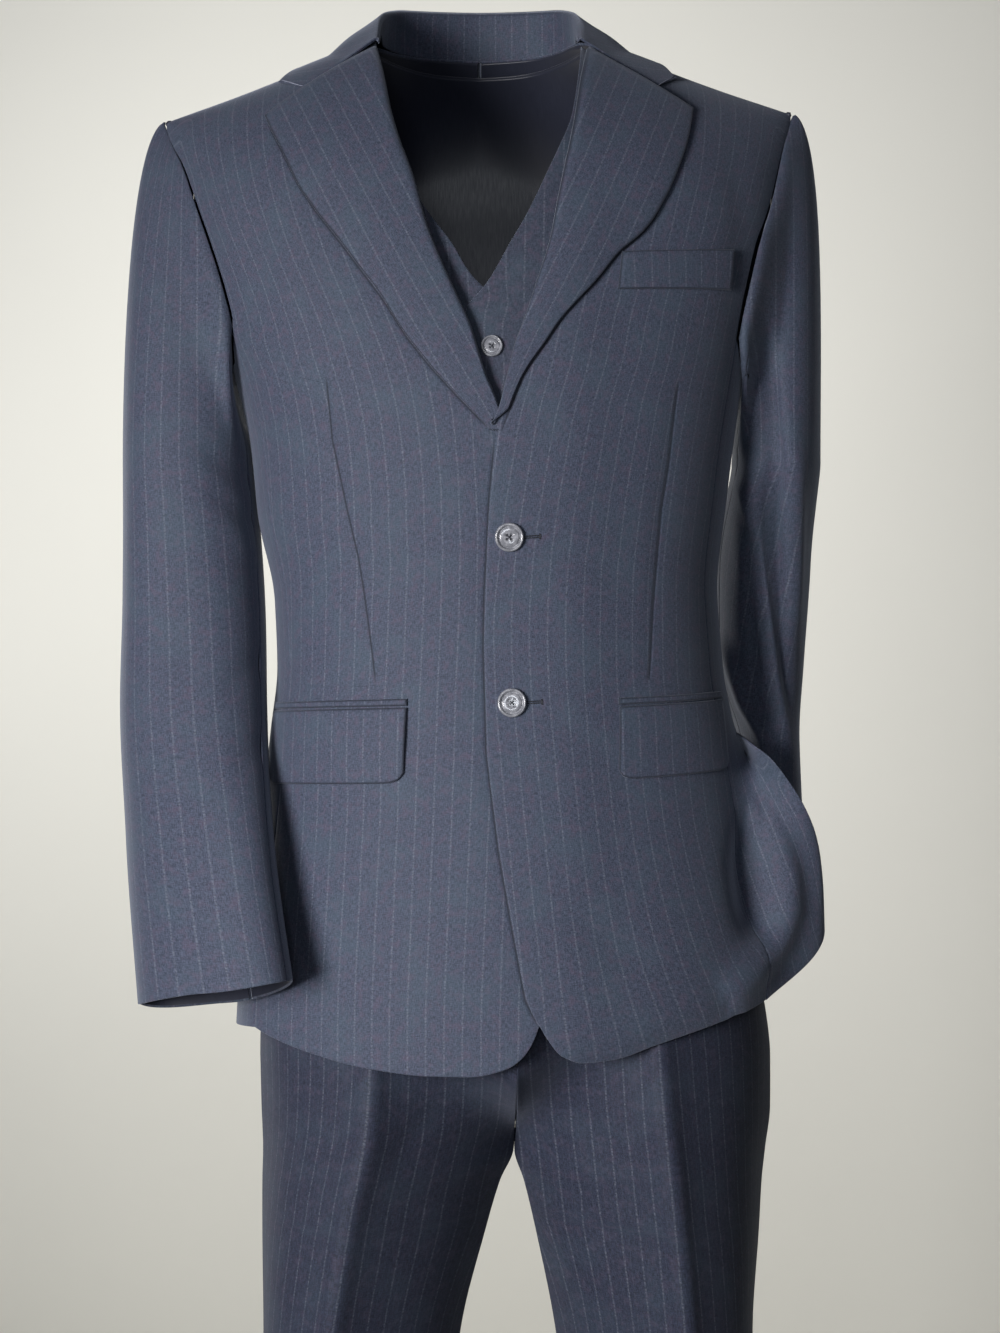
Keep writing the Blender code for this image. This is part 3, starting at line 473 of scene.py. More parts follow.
def lay_flat(points, grain, upright, rounds):
    """The flat pattern of a curved lattice, stripes along its second number."""
    column = round(grain * (points.shape[1] - 1))
    steps = np.diff(points, axis=1)
    run = np.linalg.norm(steps[..., :2] if upright else steps, axis=2)
    across = np.concatenate([np.zeros((len(run), 1)), np.cumsum(run, axis=1)], axis=1)
    across -= across[:, column:column + 1]
    fall = np.linalg.norm(np.diff(points[:, column], axis=0), axis=1)
    down = -np.concatenate([[0.0], np.cumsum(fall)])[:, None] * np.ones((1, points.shape[1]))
    flat = np.stack([across, points[..., 2] if upright else down], axis=2)
    every, head, tail = slice(None), slice(None, -1), slice(1, None)
    pairs = [((every, tail), (every, head)), ((tail, every), (head, every)),
             ((tail, tail), (head, head)), ((tail, head), (head, tail))]
    true = [np.linalg.norm(points[a] - points[b], axis=2) for a, b in pairs]
    for _ in range(rounds):
        move = np.zeros_like(flat)
        for (a, b), length in zip(pairs, true):
            gap = flat[a] - flat[b]
            now = np.maximum(np.linalg.norm(gap, axis=2), 1e-6)
            pull = gap * (0.5 * (now - length) / now)[..., None]
            move[a] -= pull
            move[b] += pull
        flat += SPRING_PULL * move
    return flat


def turn_upright(flat, grain):
    """Turn a flat pattern until its grain column stands upright at nought."""
    column = round(grain * (flat.shape[1] - 1))
    top, low = flat[0, column], flat[-1, column]
    lean = math.atan2(*(top - low))
    turn = np.array([[math.cos(lean), -math.sin(lean)], [math.sin(lean), math.cos(lean)]])
    return (flat - low) @ turn.T


def flat_area(flat):
    """The area of a flat lattice, from the two diagonals of each cell."""
    one, other = flat[1:, 1:] - flat[:-1, :-1], flat[1:, :-1] - flat[:-1, 1:]
    return 0.5 * abs(one[..., 0] * other[..., 1] - one[..., 1] * other[..., 0]).sum()

# %% [markdown]
# ## How each piece is cut and finished
#
# Every piece is made the same way. A grid is laid between the seams, with extra lines crowded near
# its edges, so that a seam rolls inwards and a finished edge looks pressed over, not cut with a
# knife. Its creases are soft ridges and troughs placed one by one. Solidify then gives it a
# thickness on the inside. A simulation would drape it as well, but not into the creases of this
# suit. The table says for each kind of piece how many columns and rows its grid has, how its four
# sides are finished, where its grain runs and how it is held.

# %% The cutting table
Cut = namedtuple("Cut", "columns rows inner outer top bottom grain upright held")
CUTS = {
    "jacket_front": Cut(84, 132, "edge", "seam", "seam", "edge", 0.35, True, "hung"),
    "jacket_side": Cut(44, 84, "seam", "seam", "seam", "edge", 0.0, False, "hung"),
    "jacket_back": Cut(70, 120, "seam", "seam", "seam", "edge", 0.40, True, "hung"),
    "jacket_lapel": Cut(40, 112, "roll", "edge", "seam", "edge", 0.50, False, "folded"),
    "jacket_collar": Cut(156, 40, "edge", "edge", "seam", "edge", 0.50, False, "folded"),
    "jacket_top_sleeve": Cut(84, 124, "seam", "seam", "roll", "edge", 0.45, True, "hung"),
    "jacket_under_sleeve": Cut(36, 116, "seam", "seam", "roll", "edge", 0.50, True, "hung"),
    "jacket_chest_welt": Cut(36, 16, "edge", "edge", "edge", "edge", 0.50, False, "laid"),
    "jacket_flap": Cut(48, 26, "edge", "edge", "edge", "edge", 0.50, False, "hung"),
    "jacket_jet": Cut(40, 6, "edge", "edge", "edge", "edge", 0.50, False, "laid"),
    "waistcoat_front": Cut(60, 90, "edge", "edge", "seam", "edge", 0.30, True, "hung"),
    "waistcoat_back": Cut(104, 90, "edge", "edge", "seam", "edge", 0.50, True, "hung"),
    "trouser_front": Cut(68, 160, "seam", "seam", "seam", "edge", 0.50, True, "hung"),
    "trouser_back": Cut(68, 160, "seam", "seam", "seam", "edge", 0.50, True, "hung"),
    "trouser_waistband": Cut(220, 14, "edge", "edge", "edge", "seam", 0.50, False, "laid"),
}
EDGE_REACH = {"seam": 0.0014, "edge": 0.0011, "roll": 0.0034}
EDGE_DROP = {"seam": 0.0010, "edge": 0.0008, "roll": 0.0034}
EDGE_LINES = 4
PLAIN_CLOTH = {"waistcoat_back": "lining"}
TURNED = ("jacket_collar", "jacket_lapel")
CRISP = ("jacket_collar", "jacket_lapel", "jacket_flap")
# Pieces with a painted shadow line round their edges, and the scale of its distance from the edge.
SHADOW_OUTLINED = ("jacket_flap", "jacket_jet", "jacket_chest_welt", "jacket_lapel")
SHADOW_OUTLINE_SCALE = 0.6
STRAIGHT = ("trouser_front", "trouser_back")
UPRIGHT_GRAIN = (*STRAIGHT, "jacket_top_sleeve", "jacket_under_sleeve")
FEWEST_COLUMNS, FEWEST_ROWS = 8, 6
NO_LINE_NEAR = 1.0
finishes = {}
print("kinds of piece:", len(CUTS))

# %% [markdown]
# ## Rolled edges
#
# A seam rolls inwards over a millimetre or so. A Bevel would round the edge of a finished sheet,
# but four extra lines that drop on a quarter circle do it in the grid itself, and the wall follows
# them.

# %% Edges of a piece
def shares_across(count, length, start, end):
    """Even steps across a piece, with lines crowded where an edge rounds over."""
    turn = [1 - math.cos(math.pi / 2 * line / EDGE_LINES) for line in range(EDGE_LINES + 1)]
    low = [min(EDGE_REACH[start] / length, 0.2) * part for part in turn]
    high = [1 - min(EDGE_REACH[end] / length, 0.2) * part for part in turn]
    return np.array([*low[:-1], *np.linspace(low[-1], high[-1], count + 1), *high[-2::-1]])


def edge_drops(count, start, end):
    """How far each of those lines drops towards the inside."""
    turn = [1 - math.sin(math.pi / 2 * line / EDGE_LINES) for line in range(EDGE_LINES)]
    low = [EDGE_DROP[start] * part for part in turn]
    high = [EDGE_DROP[end] * part for part in turn]
    return np.array([*low, *[0.0] * (count + 1), *high[::-1]])


def normals_of(points):
    """Unit vectors square to a lattice of points."""
    across = np.gradient(points, axis=1)
    down = np.gradient(points, axis=0)
    square = np.cross(down, across)
    return square / np.maximum(np.linalg.norm(square, axis=2, keepdims=True), 1e-12)


print("lines in a rolled edge:", EDGE_LINES)

# %% [markdown]
# ## Creases and pressed lines
#
# A crease is a bump whose height falls off to each side of a path. Sculpting could draw it, but a
# path with a width and a height can be read and moved. A trouser crease is pressed with an iron and
# is sharp, so its height falls off straight away from the line. The seat seam is brought together
# here as well, because the two legs are shaped apart and leave it open.

# %% Ridges and troughs
PRESS_HEIGHT, PRESS_WIDTH = 0.0050, 0.014
PRESS_TOP, PRESS_FADE = -0.62, 0.12
SEAT_SEAM = ((-0.835, 0.0270), (-0.812, 0.0285), (-0.780, 0.0300))
SEAT_LOW, SEAT_FADE = -0.818, 0.012
SEAT_REACH, SEAT_GAP = 0.08, 0.0002


def crease(across, up, path, width, height):
    """A soft ridge, or a trough where height is negative, along a path seen square on."""
    path = np.array(path, dtype=float)
    lengths = np.linalg.norm(np.diff(path, axis=0), axis=1)
    total, passed = lengths.sum(), 0.0
    nearest = np.full(across.shape, 1e9)
    share = np.zeros(across.shape)
    for start, end, length in zip(path, path[1:], lengths):
        way = (end - start) / length
        along = (across - start[0]) * way[0] + (up - start[1]) * way[1]
        along = np.clip(along, 0.0, length)
        off = np.hypot(across - start[0] - along * way[0], up - start[1] - along * way[1])
        closer = off < nearest
        nearest[closer] = off[closer]
        share[closer] = ((passed + along) / total)[closer]
        passed += length
    fade = np.sin(math.pi * np.clip(share, 0.02, 0.98)) ** 0.6
    return height * fade * np.exp(-(nearest / width) ** 2)


def pressed_line(us, wide, points):
    """How far the pressed crease of a leg stands out, fading in below the hip."""
    ridge = PRESS_HEIGHT * np.exp(-abs(us - 0.5) * wide / PRESS_WIDTH)
    return ridge[None, :] * np.clip((PRESS_TOP - points[..., 2]) / PRESS_FADE, 0.0, 1.0)


def close_seat(side, us, points):
    """Bring the middle seam of the seat together above the crotch."""
    z = points[:, 0, 2]
    middle = np.interp(z, *zip(*SEAT_SEAM))
    fade = np.clip((z - SEAT_LOW) / SEAT_FADE, 0.0, 1.0)
    pull = (middle + side * SEAT_GAP - points[:, 0, 0]) * fade
    points[..., 0] += pull[:, None] * np.clip(1 - us / SEAT_REACH, 0.0, 1.0)[None, :] ** 2

# %% [markdown]
# ## From a lattice to a sheet
#
# A lattice of points between the seams says where the cloth is. It is laid flat for its size and
# its stripe, read more finely, creased and rolled, and only then made a mesh. Each sheet then hides
# the solid of the same name, prints how large its flat piece is and hangs from the root. Typing the
# vertices would give the same mesh, but a grid that is moved into place keeps its faces in order by
# itself.

# %% The sheet
def rough_lattice(kind, cut, place):
    """Points between the seams, on every line of a crisp piece and every second one of others."""
    step = 1 if kind in CRISP else 2
    columns = max(cut.columns // step, FEWEST_COLUMNS)
    rows = max(cut.rows // step, FEWEST_ROWS)
    return np.array([[place(i / columns, j / rows) for i in range(columns + 1)]
                     for j in range(rows + 1)])


def flat_patterns(kind, cut, lattice):
    """The flat piece, and the one by which its stripes are woven."""
    sample = read_lattice(lattice, np.linspace(0, 1, FLAT_COLUMNS), np.linspace(0, 1, FLAT_ROWS))
    flat = lay_flat(sample, cut.grain, cut.upright, FLAT_ROUNDS)
    if kind in UPRIGHT_GRAIN:
        flat = turn_upright(flat, cut.grain)
    if kind not in STRAIGHT:
        return flat, flat
    woven = lay_flat(sample, cut.grain, cut.upright, WOVEN_ROUNDS)
    return flat, turn_upright(woven, cut.grain)


def mark_darts_and_shadows(name, points):
    """How far each point lies beside its nearest dart or painted shadow line, and its share along
    it.
    """
    off_dart_or_shadow, dart_share = np.full(points.shape[:2], NO_LINE_NEAR), np.full(points.shape[:2], 0.5)
    for path in DARTS_AND_SHADOWS.get(name, ()):
        off, share = beside(path, points[..., 0], points[..., 2])
        nearer = (share > 0) & (share < 1) & (abs(off) < abs(off_dart_or_shadow))
        off_dart_or_shadow = np.where(nearer, off, off_dart_or_shadow)
        dart_share = np.where(nearer, share, dart_share)
    return off_dart_or_shadow, dart_share


def cloth_mesh(name, points, cloth, marks, flip):
    """A grid moved to the points, with the flat places in one layer and the marks in another."""
    rows, columns = points.shape[:2]
    bm = bmesh.new()
    bmesh.ops.create_grid(bm, x_segments=columns - 1, y_segments=rows - 1, size=0.5)
    bm.verts.ensure_lookup_table()
    for vertex, point in zip(bm.verts, points[::-1].reshape(-1, 3)):
        vertex.co = point
    cloth_layer = bm.loops.layers.uv.new("cloth")
    marks_layer = bm.loops.layers.uv.new("marks")
    places, offs = cloth[::-1].reshape(-1, 2), marks[::-1].reshape(-1, 2)
    for face in bm.faces:
        for corner in face.loops:
            corner[cloth_layer].uv = places[corner.vert.index]
            corner[marks_layer].uv = offs[corner.vert.index]
    if flip:
        bmesh.ops.reverse_faces(bm, faces=bm.faces[:])
    mesh = bpy.data.meshes.new(name + "_cloth")
    bm.to_mesh(mesh)
    bm.free()
    mesh.shade_smooth()
    return mesh


def sheet(name, place, wall, flip=False):
    """One finely meshed piece of cloth, standing for the solid of the same name."""
    kind = name.replace("_left", "").replace("_right", "")
    side = LEFT if name.endswith("_left") else RIGHT
    cut = CUTS[kind]
    lattice = rough_lattice(kind, cut, place)
    wide, tall = (np.median(np.linalg.norm(np.diff(lattice, axis=way), axis=2).sum(axis=way))
                  for way in (1, 0))
    us = shares_across(cut.columns, wide, cut.inner, cut.outer)
    vs = shares_across(cut.rows, tall, cut.top, cut.bottom)
    points = read_lattice(lattice, us, vs)
    outward = normals_of(points) * (-1 if flip else 1)
    points += outward * wall

    flat, woven = flat_patterns(kind, cut, lattice)
    area = flat_area(flat)
    cloth = read_lattice(woven, us, vs)
    if not flip:
        cloth[..., 0] *= -1
    cloth = warp_stripes(kind, side, points, cloth)

    off_dart_or_shadow, dart_share = mark_darts_and_shadows(name, points)
    points += outward * relief(name, points, off_dart_or_shadow, dart_share)[..., None]
    # The flaps, jets, welt and lapels take a painted shadow line round their edges in the marks.
    if kind in SHADOW_OUTLINED:
        off_dart_or_shadow = SHADOW_OUTLINE_SCALE * np.minimum(np.minimum(us, 1 - us)[None, :] * wide,
                                              np.minimum(vs, 1 - vs)[:, None] * tall)
    if kind == "trouser_front":
        close_seat(side, us, points)
    if kind in STRAIGHT:
        points += outward * pressed_line(us, wide, points)[..., None]
    drop = np.maximum(edge_drops(cut.columns, cut.inner, cut.outer)[None, :],
                      edge_drops(cut.rows, cut.top, cut.bottom)[:, None])
    points -= outward * drop[..., None]

    mesh = cloth_mesh(name, points, cloth, np.stack([off_dart_or_shadow, dart_share], axis=2), flip)
    piece = bpy.data.objects.new(name + "_cloth", mesh)
    bpy.context.scene.collection.objects.link(piece)
    solid = piece.modifiers.new("wall", "SOLIDIFY")
    solid.thickness = wall
    solid.offset = -1.0
    solid.use_even_offset = False
    slot = {"j": "jacket_cloth", "w": "waistcoat_cloth", "t": "trouser_cloth"}[name[0]]
    mesh.materials.append(finishes[PLAIN_CLOTH.get(name, slot)])
    mesh.materials.append(finishes["jacket_cloth" if kind in TURNED else "lining"])
    solid.material_offset = 1
    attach(piece, "root")
    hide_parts(name)
    size = [float(size) for size in flat.max(axis=(0, 1)) - flat.min(axis=(0, 1))]
    print("%-28s cut %4d x %4d mm, %.3f m2" % (name, 1000 * size[0], 1000 * size[1], area))
    return piece

# %% [markdown]
# ## The wool
#
# A worsted suiting is dyed before it is spun, so one thread differs a little from the next, and
# every thirteen millimetres one pale warp thread comes to the face for a stitch at a time: the
# pinstripe. An image could hold it, but a stripe worked out from the cloth's own flat sizes stays
# sharp at any distance. The first number of the flat place tells how far a point is from the
# nearest stripe, and the second one breaks the stripe into dots. A second layer marks how far a
# point is from a dart or an edge, which is drawn as a dark line with a groove. At a dart the dark
# line is the seam; along an edge it is painted shadow, where the edge stands over the cloth.

# %% Wool finishes
STRIPE_APART = 0.0132
STRIPE_HALF = 0.00062
DOT_LENGTH = 0.0021
TWILL_APART = 0.0011
ACROSS_THREAD, ALONG_THREAD = 1700.0, 330.0
SEAM_AND_SHADOW_TONE = (0.008, 0.010, 0.017, 1)
WARM_THREAD = (0.100, 0.070, 0.112, 1)
COOL_THREAD = (0.052, 0.092, 0.122, 1)


def wool(name, dark, light, stripe, stripe_strength, shade=1.0, sheen=0.35):
    finish = Finish(name)
    place, across, along = finish.layer("cloth")
    warp_thread = finish.add("ShaderNodeCombineXYZ", {},
                             {0: across * ACROSS_THREAD, 1: along * ALONG_THREAD})
    weft_thread = finish.add("ShaderNodeCombineXYZ", {},
                             {0: across * ALONG_THREAD, 1: along * ACROSS_THREAD})
    warp = finish.noise(warp_thread, 1.0, 2.0, 0.6)
    weft = finish.noise(weft_thread, 1.0, 2.0, 0.6)
    cloud = finish.noise(place, 30.0, 3.0, 0.55)
    tint = finish.noise(place, 140.0, 2.0, 0.6)

    waver = (finish.noise(place, 300.0, 1.0) - 0.5) * 0.0007
    phase = finish.maths("FRACT", (across + waver) / STRIPE_APART + 0.5)
    off = abs(phase - 0.5) * STRIPE_APART
    line = 1 - finish.rise(off, STRIPE_HALF * 0.2, STRIPE_HALF * 1.7)
    shadow_phase = finish.maths("FRACT", across * (3 / STRIPE_APART) + 0.5)
    shadow_line = 1 - finish.rise(abs(shadow_phase - 0.5), 0.06, 0.22)
    uneven = finish.rise(finish.noise(place, 520.0, 2.0, 0.7), 0.38, 0.66)
    dot = finish.maths("SINE", along * (2 * math.pi / DOT_LENGTH)) * 0.3 + 0.7
    pinstripe = (line * dot * (uneven * 0.8 + 0.2) + shadow_line * uneven * 0.16) * stripe_strength

    _, mark_off, mark_share = finish.layer("marks")
    within = finish.rise(mark_share, 0.0, 0.05) * (1 - finish.rise(mark_share, 0.95, 1.0))
    # The dark line is the seam at a dart, and painted shadow along the edges of flaps, jets, the
    # welt and lapels, beside the left front's edge and under each lapel.
    seam_and_shadow = (1 - finish.rise(abs(mark_off), 0.0002, 0.0011)) * within
    groove = (1 - finish.rise(abs(mark_off), 0.0002, 0.0022)) * within

    weave = warp * 0.55 + weft * 0.45
    depth = finish.rise(weave, 0.36, 0.64)
    ground = finish.blend(depth, dark, light)
    warm = finish.blend(finish.rise(tint, 0.45, 0.72) * 0.34 * shade, ground, WARM_THREAD)
    cool = finish.blend(finish.rise(cloud, 0.42, 0.70) * 0.26 * shade, warm, COOL_THREAD)
    striped = finish.blend(pinstripe * (1 - seam_and_shadow), cool, stripe)
    colour = finish.blend(seam_and_shadow * 0.72, striped, SEAM_AND_SHADOW_TONE)

    twill = finish.maths("SINE", (across + along) * (2 * math.pi / TWILL_APART))
    height = twill * 0.2 + weave * 0.9 + pinstripe * 0.5 - groove * 5.0
    bump = finish.add("ShaderNodeBump", {}, {"Strength": 0.45, "Distance": 0.0002,
                      "Height": height})
    roughness = 0.62 + weave * 0.22
    return finish.feed(Base_Color=colour, Roughness=roughness, Normal=bump,
                       Sheen_Weight=sheen, Sheen_Roughness=0.45, Sheen_Tint=(0.75, 0.82, 1.0, 1),
                       Specular_IOR_Level=0.30)


PALE_STRIPE = (0.220, 0.242, 0.300, 1)
finishes["jacket_cloth"] = wool("jacket wool", (0.026, 0.033, 0.055, 1), (0.072, 0.085, 0.134, 1),
                                PALE_STRIPE, 0.35)
finishes["waistcoat_cloth"] = wool("waistcoat wool", (0.020, 0.026, 0.043, 1),
                                   (0.055, 0.065, 0.102, 1), PALE_STRIPE, 0.30)
# The trousers are of the jacket's cloth; their darker colours are painted shade for the dimmer
# light under the jacket.
finishes["trouser_cloth"] = wool("trouser wool", (0.011, 0.014, 0.027, 1),
                                 (0.032, 0.038, 0.069, 1), PALE_STRIPE, 0.30, 0.5, 0.10)

# %% [markdown]
# The inside is covered with a plain dark satin. A single colour would look like paper, so fine
# threads that run one way make its sheen.

# %% Lining
def satin():
    finish = Finish("dark satin lining")
    place, across, along = finish.layer("cloth")
    thread = finish.add("ShaderNodeCombineXYZ", {}, {0: across * 900.0, 1: along * 90.0})
    fibre = finish.noise(thread, 1.0, 2.0)
    cloud = finish.noise(place, 14.0, 3.0)
    colour = finish.blend(cloud * 0.5 + fibre * 0.5, (0.010, 0.012, 0.022, 1),
                          (0.030, 0.034, 0.058, 1))
    bump = finish.add("ShaderNodeBump", {}, {"Strength": 0.3, "Distance": 0.0002,
                      "Height": fibre + cloud * 2.0})
    return finish.feed(Base_Color=colour, Roughness=0.36 + fibre * 0.14, Normal=bump,
                       Sheen_Weight=0.2)


finishes["lining"] = satin()
print("finishes:", len(finishes))

# %% [markdown]
# ## Where the stripe leans
#
# Buttoning pulls the fronts in at the waist, so their stripes lean towards the middle on the way
# down. The wrist in the vent drags the left skirt. The leans are small tables of how far a stripe
# has wandered at each height. The cloth could be bent to make them, but then its flat size would
# be wrong, so only the stripe is moved.

# %% Leaning stripes
LEAN = {
    RIGHT: Table("z drift", (-0.05, -0.004), (-0.18, 0.0), (-0.24, 0.002), (-0.32, 0.012),
                 (-0.40, 0.024), (-0.467, 0.033), (-0.55, 0.038), (-0.72, 0.044)),
    LEFT: Table("z drift", (-0.05, 0.0), (-0.30, 0.0), (-0.40, 0.002), (-0.467, 0.004),
                (-0.55, 0.003), (-0.60, -0.003), (-0.66, -0.016), (-0.72, -0.036)),
}


def thigh_stripes(points, cloth):
    """Over the thigh the stripes of a front run parallel to its crease, as seen square on."""
    low, high = -1.00, -0.86
    middle = points.shape[1] // 2
    pressed = points[:, middle, 0][:, None]
    straight = np.sign(cloth[..., 0]) * abs(points[..., 0] - pressed)
    inside = np.arange(points.shape[1])[None, :] < middle
    share = np.clip((points[..., 2] - low) / (high - low), 0.0, 1.0) * inside
    cloth[..., 0] = cloth[..., 0] * (1 - share) + straight * share
    return cloth


def warp_stripes(kind, side, points, cloth):
    """Let the stripes of the fronts wander as the closed fronts pull them."""
    if kind.endswith("sleeve"):
        return sleeve_stripes(side, points)
    if kind == "trouser_front":
        return thigh_stripes(points, cloth)
    if kind != "jacket_front":
        return cloth
    heights = np.linspace(-0.80, 0.05, 120)
    drift = np.interp(points[..., 2], heights, [LEAN[side].at(h).drift for h in heights])
    if side == LEFT:
        still, fade = 0.060, 0.110
        drift *= np.clip((points[..., 0] - still) / fade, 0.0, 1.0)
    cloth[..., 0] -= drift
    return cloth

# %% [markdown]
# ## Darts and painted shadow lines
#
# A dart pinches the cloth together along a line, which shows as a thin dark groove. The second
# line in the right front's list lies along the left front's edge: a painted shadow of the gap under
# that edge, over a shallow groove. It runs upwards, so that the cloth between the two lines lies on
# the same side of both. Lines of painted shadow under the lapels are added to both fronts further
# down.
# Each line is a path seen square on. A Boolean could cut a groove, but a distance from the path,
# kept in a layer of the mesh, serves both the shape and the finish.

# %% Darts and painted shadow lines
DARTS_AND_SHADOWS = {
    "jacket_front_right": (
        ((-0.1058, -0.2420), (-0.1012, -0.2905), (-0.0902, -0.3424), (-0.0830, -0.3725),
         (-0.0779, -0.4040), (-0.0728, -0.4415), (-0.0700, -0.4655)),
        # Painted shadow along the left front's edge, over a shallow groove.
        ((0.0480, -0.7095), (0.0355, -0.685), (0.0250, -0.629), (0.0165, -0.580),
         (0.0081, -0.513), (0.0060, -0.438), (0.0067, -0.400), (0.0102, -0.3325),
         (0.0148, -0.285)),
    ),
    "jacket_front_left": (
        ((0.1459, -0.2440), (0.1430, -0.2665), (0.1386, -0.3075), (0.1335, -0.3390),
         (0.1305, -0.3740), (0.1276, -0.4080), (0.1253, -0.4470), (0.1238, -0.4660)),
    ),
}
DART_WIDTH = 0.006
DART_DEPTH = -0.0007


def beside(path, across, up):
    """How far points lie beside a path seen square on, and their share along it."""
    path = np.array(path)
    steps = np.diff(path, axis=0)
    lengths = np.linalg.norm(steps, axis=1)
    nearest = np.full(across.shape, 1e9)
    off, share = np.zeros(across.shape), np.zeros(across.shape)
    for number, (start, step, length) in enumerate(zip(path, steps, lengths)):
        way = step / length
        along = (across - start[0]) * way[0] + (up - start[1]) * way[1]
        beyond = abs(along - np.clip(along, 0.0, length))
        aside = (across - start[0]) * way[1] - (up - start[1]) * way[0]
        closer = np.hypot(aside, beyond) < nearest
        nearest[closer] = np.hypot(aside, beyond)[closer]
        off[closer] = aside[closer]
        share[closer] = ((lengths[:number].sum() + along) / lengths.sum())[closer]
    return off, share

# %% [markdown]
# ## Where the cloth creases
#
# Creases are short lists of paths, seen square on, each with a width and a height. A negative
# height is a trough. The bent left arm has the deepest ones.

# %% Creases of each piece
Crease = namedtuple("Crease", "path width height")
CREASES = {
    "jacket_top_sleeve_left": (
        Crease(((0.206, -0.300), (0.214, -0.360), (0.222, -0.415), (0.228, -0.462),
                (0.236, -0.515)), 0.0050, 0.0058),
        Crease(((0.217, -0.205), (0.222, -0.290), (0.2265, -0.366), (0.233, -0.424),
                (0.239, -0.482)), 0.0055, -0.0070),
        Crease(((0.198, -0.312), (0.208, -0.352)), 0.0030, 0.0030),
        Crease(((0.188, -0.428), (0.204, -0.480), (0.220, -0.514)), 0.0040, 0.0050),
        Crease(((0.208, -0.345), (0.209, -0.400), (0.214, -0.450), (0.225, -0.500)),
               0.0060, -0.0070),
        Crease(((0.240, -0.300), (0.243, -0.360), (0.244, -0.425)), 0.0060, 0.0036),
        Crease(((0.205, -0.520), (0.222, -0.560), (0.236, -0.575)), 0.0050, -0.0036),
    ),
    "jacket_front_right": (
        Crease(((-0.020, -0.368), (-0.045, -0.374), (-0.078, -0.392)), 0.007, -0.0012),
        Crease(((-0.016, -0.350), (-0.050, -0.336), (-0.085, -0.330)), 0.008, -0.0010),
        Crease(((-0.018, -0.486), (-0.048, -0.500), (-0.085, -0.530)), 0.010, -0.0009),
        Crease(((-0.150, -0.080), (-0.156, -0.130), (-0.152, -0.190)), 0.012, -0.0016),
        Crease(((-0.128, -0.120), (-0.132, -0.170), (-0.126, -0.225)), 0.014, 0.0009),
    ),
    "jacket_front_left": (
        Crease(((0.050, -0.366), (0.078, -0.374), (0.108, -0.388)), 0.007, -0.0011),
        Crease(((0.046, -0.350), (0.075, -0.338), (0.105, -0.332)), 0.008, -0.0009),
        Crease(((0.046, -0.487), (0.075, -0.502), (0.100, -0.520)), 0.010, -0.0009),
        Crease(((0.188, -0.075), (0.195, -0.130), (0.189, -0.195)), 0.012, -0.0018),
        Crease(((0.060, -0.610), (0.085, -0.640), (0.130, -0.662)), 0.016, -0.0015),
        Crease(((0.060, -0.742), (0.110, -0.736), (0.170, -0.716), (0.200, -0.700)),
               0.016, -0.0080),
    ),
    "jacket_back_right": (
        Crease(((-0.120, -0.070), (-0.128, -0.120), (-0.122, -0.190)), 0.013, -0.0016),
        Crease(((-0.020, -0.060), (-0.060, -0.052), (-0.100, -0.058)), 0.010, -0.0010),
        Crease(((-0.030, -0.330), (-0.070, -0.345), (-0.105, -0.372)), 0.012, -0.0014),
    ),
    "jacket_back_left": (
        Crease(((0.145, -0.066), (0.155, -0.120), (0.148, -0.185)), 0.013, -0.0015),
        Crease(((0.025, -0.062), (0.065, -0.053), (0.112, -0.060)), 0.010, -0.0009),
        Crease(((0.035, -0.336), (0.078, -0.350), (0.115, -0.380)), 0.012, -0.0015),
        Crease(((0.060, -0.360), (0.100, -0.385), (0.125, -0.420)), 0.012, -0.0010),
    ),
    "jacket_top_sleeve_right": (
        Crease(((-0.166, -0.318), (-0.184, -0.305), (-0.205, -0.285)), 0.008, -0.0022),
        Crease(((-0.162, -0.345), (-0.176, -0.336), (-0.200, -0.318)), 0.007, -0.0020),
        Crease(((-0.160, -0.372), (-0.170, -0.362), (-0.182, -0.345)), 0.007, 0.0014),
        Crease(((-0.150, -0.440), (-0.165, -0.452), (-0.186, -0.470)), 0.010, -0.0018),
        Crease(((-0.146, -0.500), (-0.158, -0.512), (-0.176, -0.520)), 0.010, -0.0016),
        Crease(((-0.236, -0.420), (-0.215, -0.440), (-0.200, -0.470)), 0.016, -0.0014),
    ),
    "trouser_front_left": (
        Crease(((0.078, -0.850), (0.110, -0.862), (0.152, -0.872)), 0.006, -0.0014),
        Crease(((0.0762, -0.824), (0.0750, -0.848)), 0.0024, -0.0022),
        Crease(((0.060, -0.760), (0.085, -0.780), (0.100, -0.810)), 0.010, -0.0014),
        Crease(((0.050, -1.120), (0.090, -1.135), (0.150, -1.130)), 0.014, -0.0014),
    ),
    "trouser_front_right": (
        Crease(((-0.020, -0.765), (-0.045, -0.785), (-0.060, -0.815)), 0.010, -0.0014),
        Crease(((-0.050, -1.115), (-0.090, -1.130), (-0.145, -1.120)), 0.014, -0.0013),
    ),
    "trouser_back_left": (
        Crease(((0.050, -1.105), (0.095, -1.128), (0.150, -1.120)), 0.012, -0.0018),
        Crease(((0.040, -0.830), (0.080, -0.850), (0.130, -0.845)), 0.012, -0.0015),
    ),
    "trouser_back_right": (
        Crease(((-0.045, -1.110), (-0.095, -1.122), (-0.145, -1.112)), 0.012, -0.0017),
        Crease(((-0.015, -0.832), (-0.060, -0.848), (-0.110, -0.846)), 0.012, -0.0014),
    ),
}


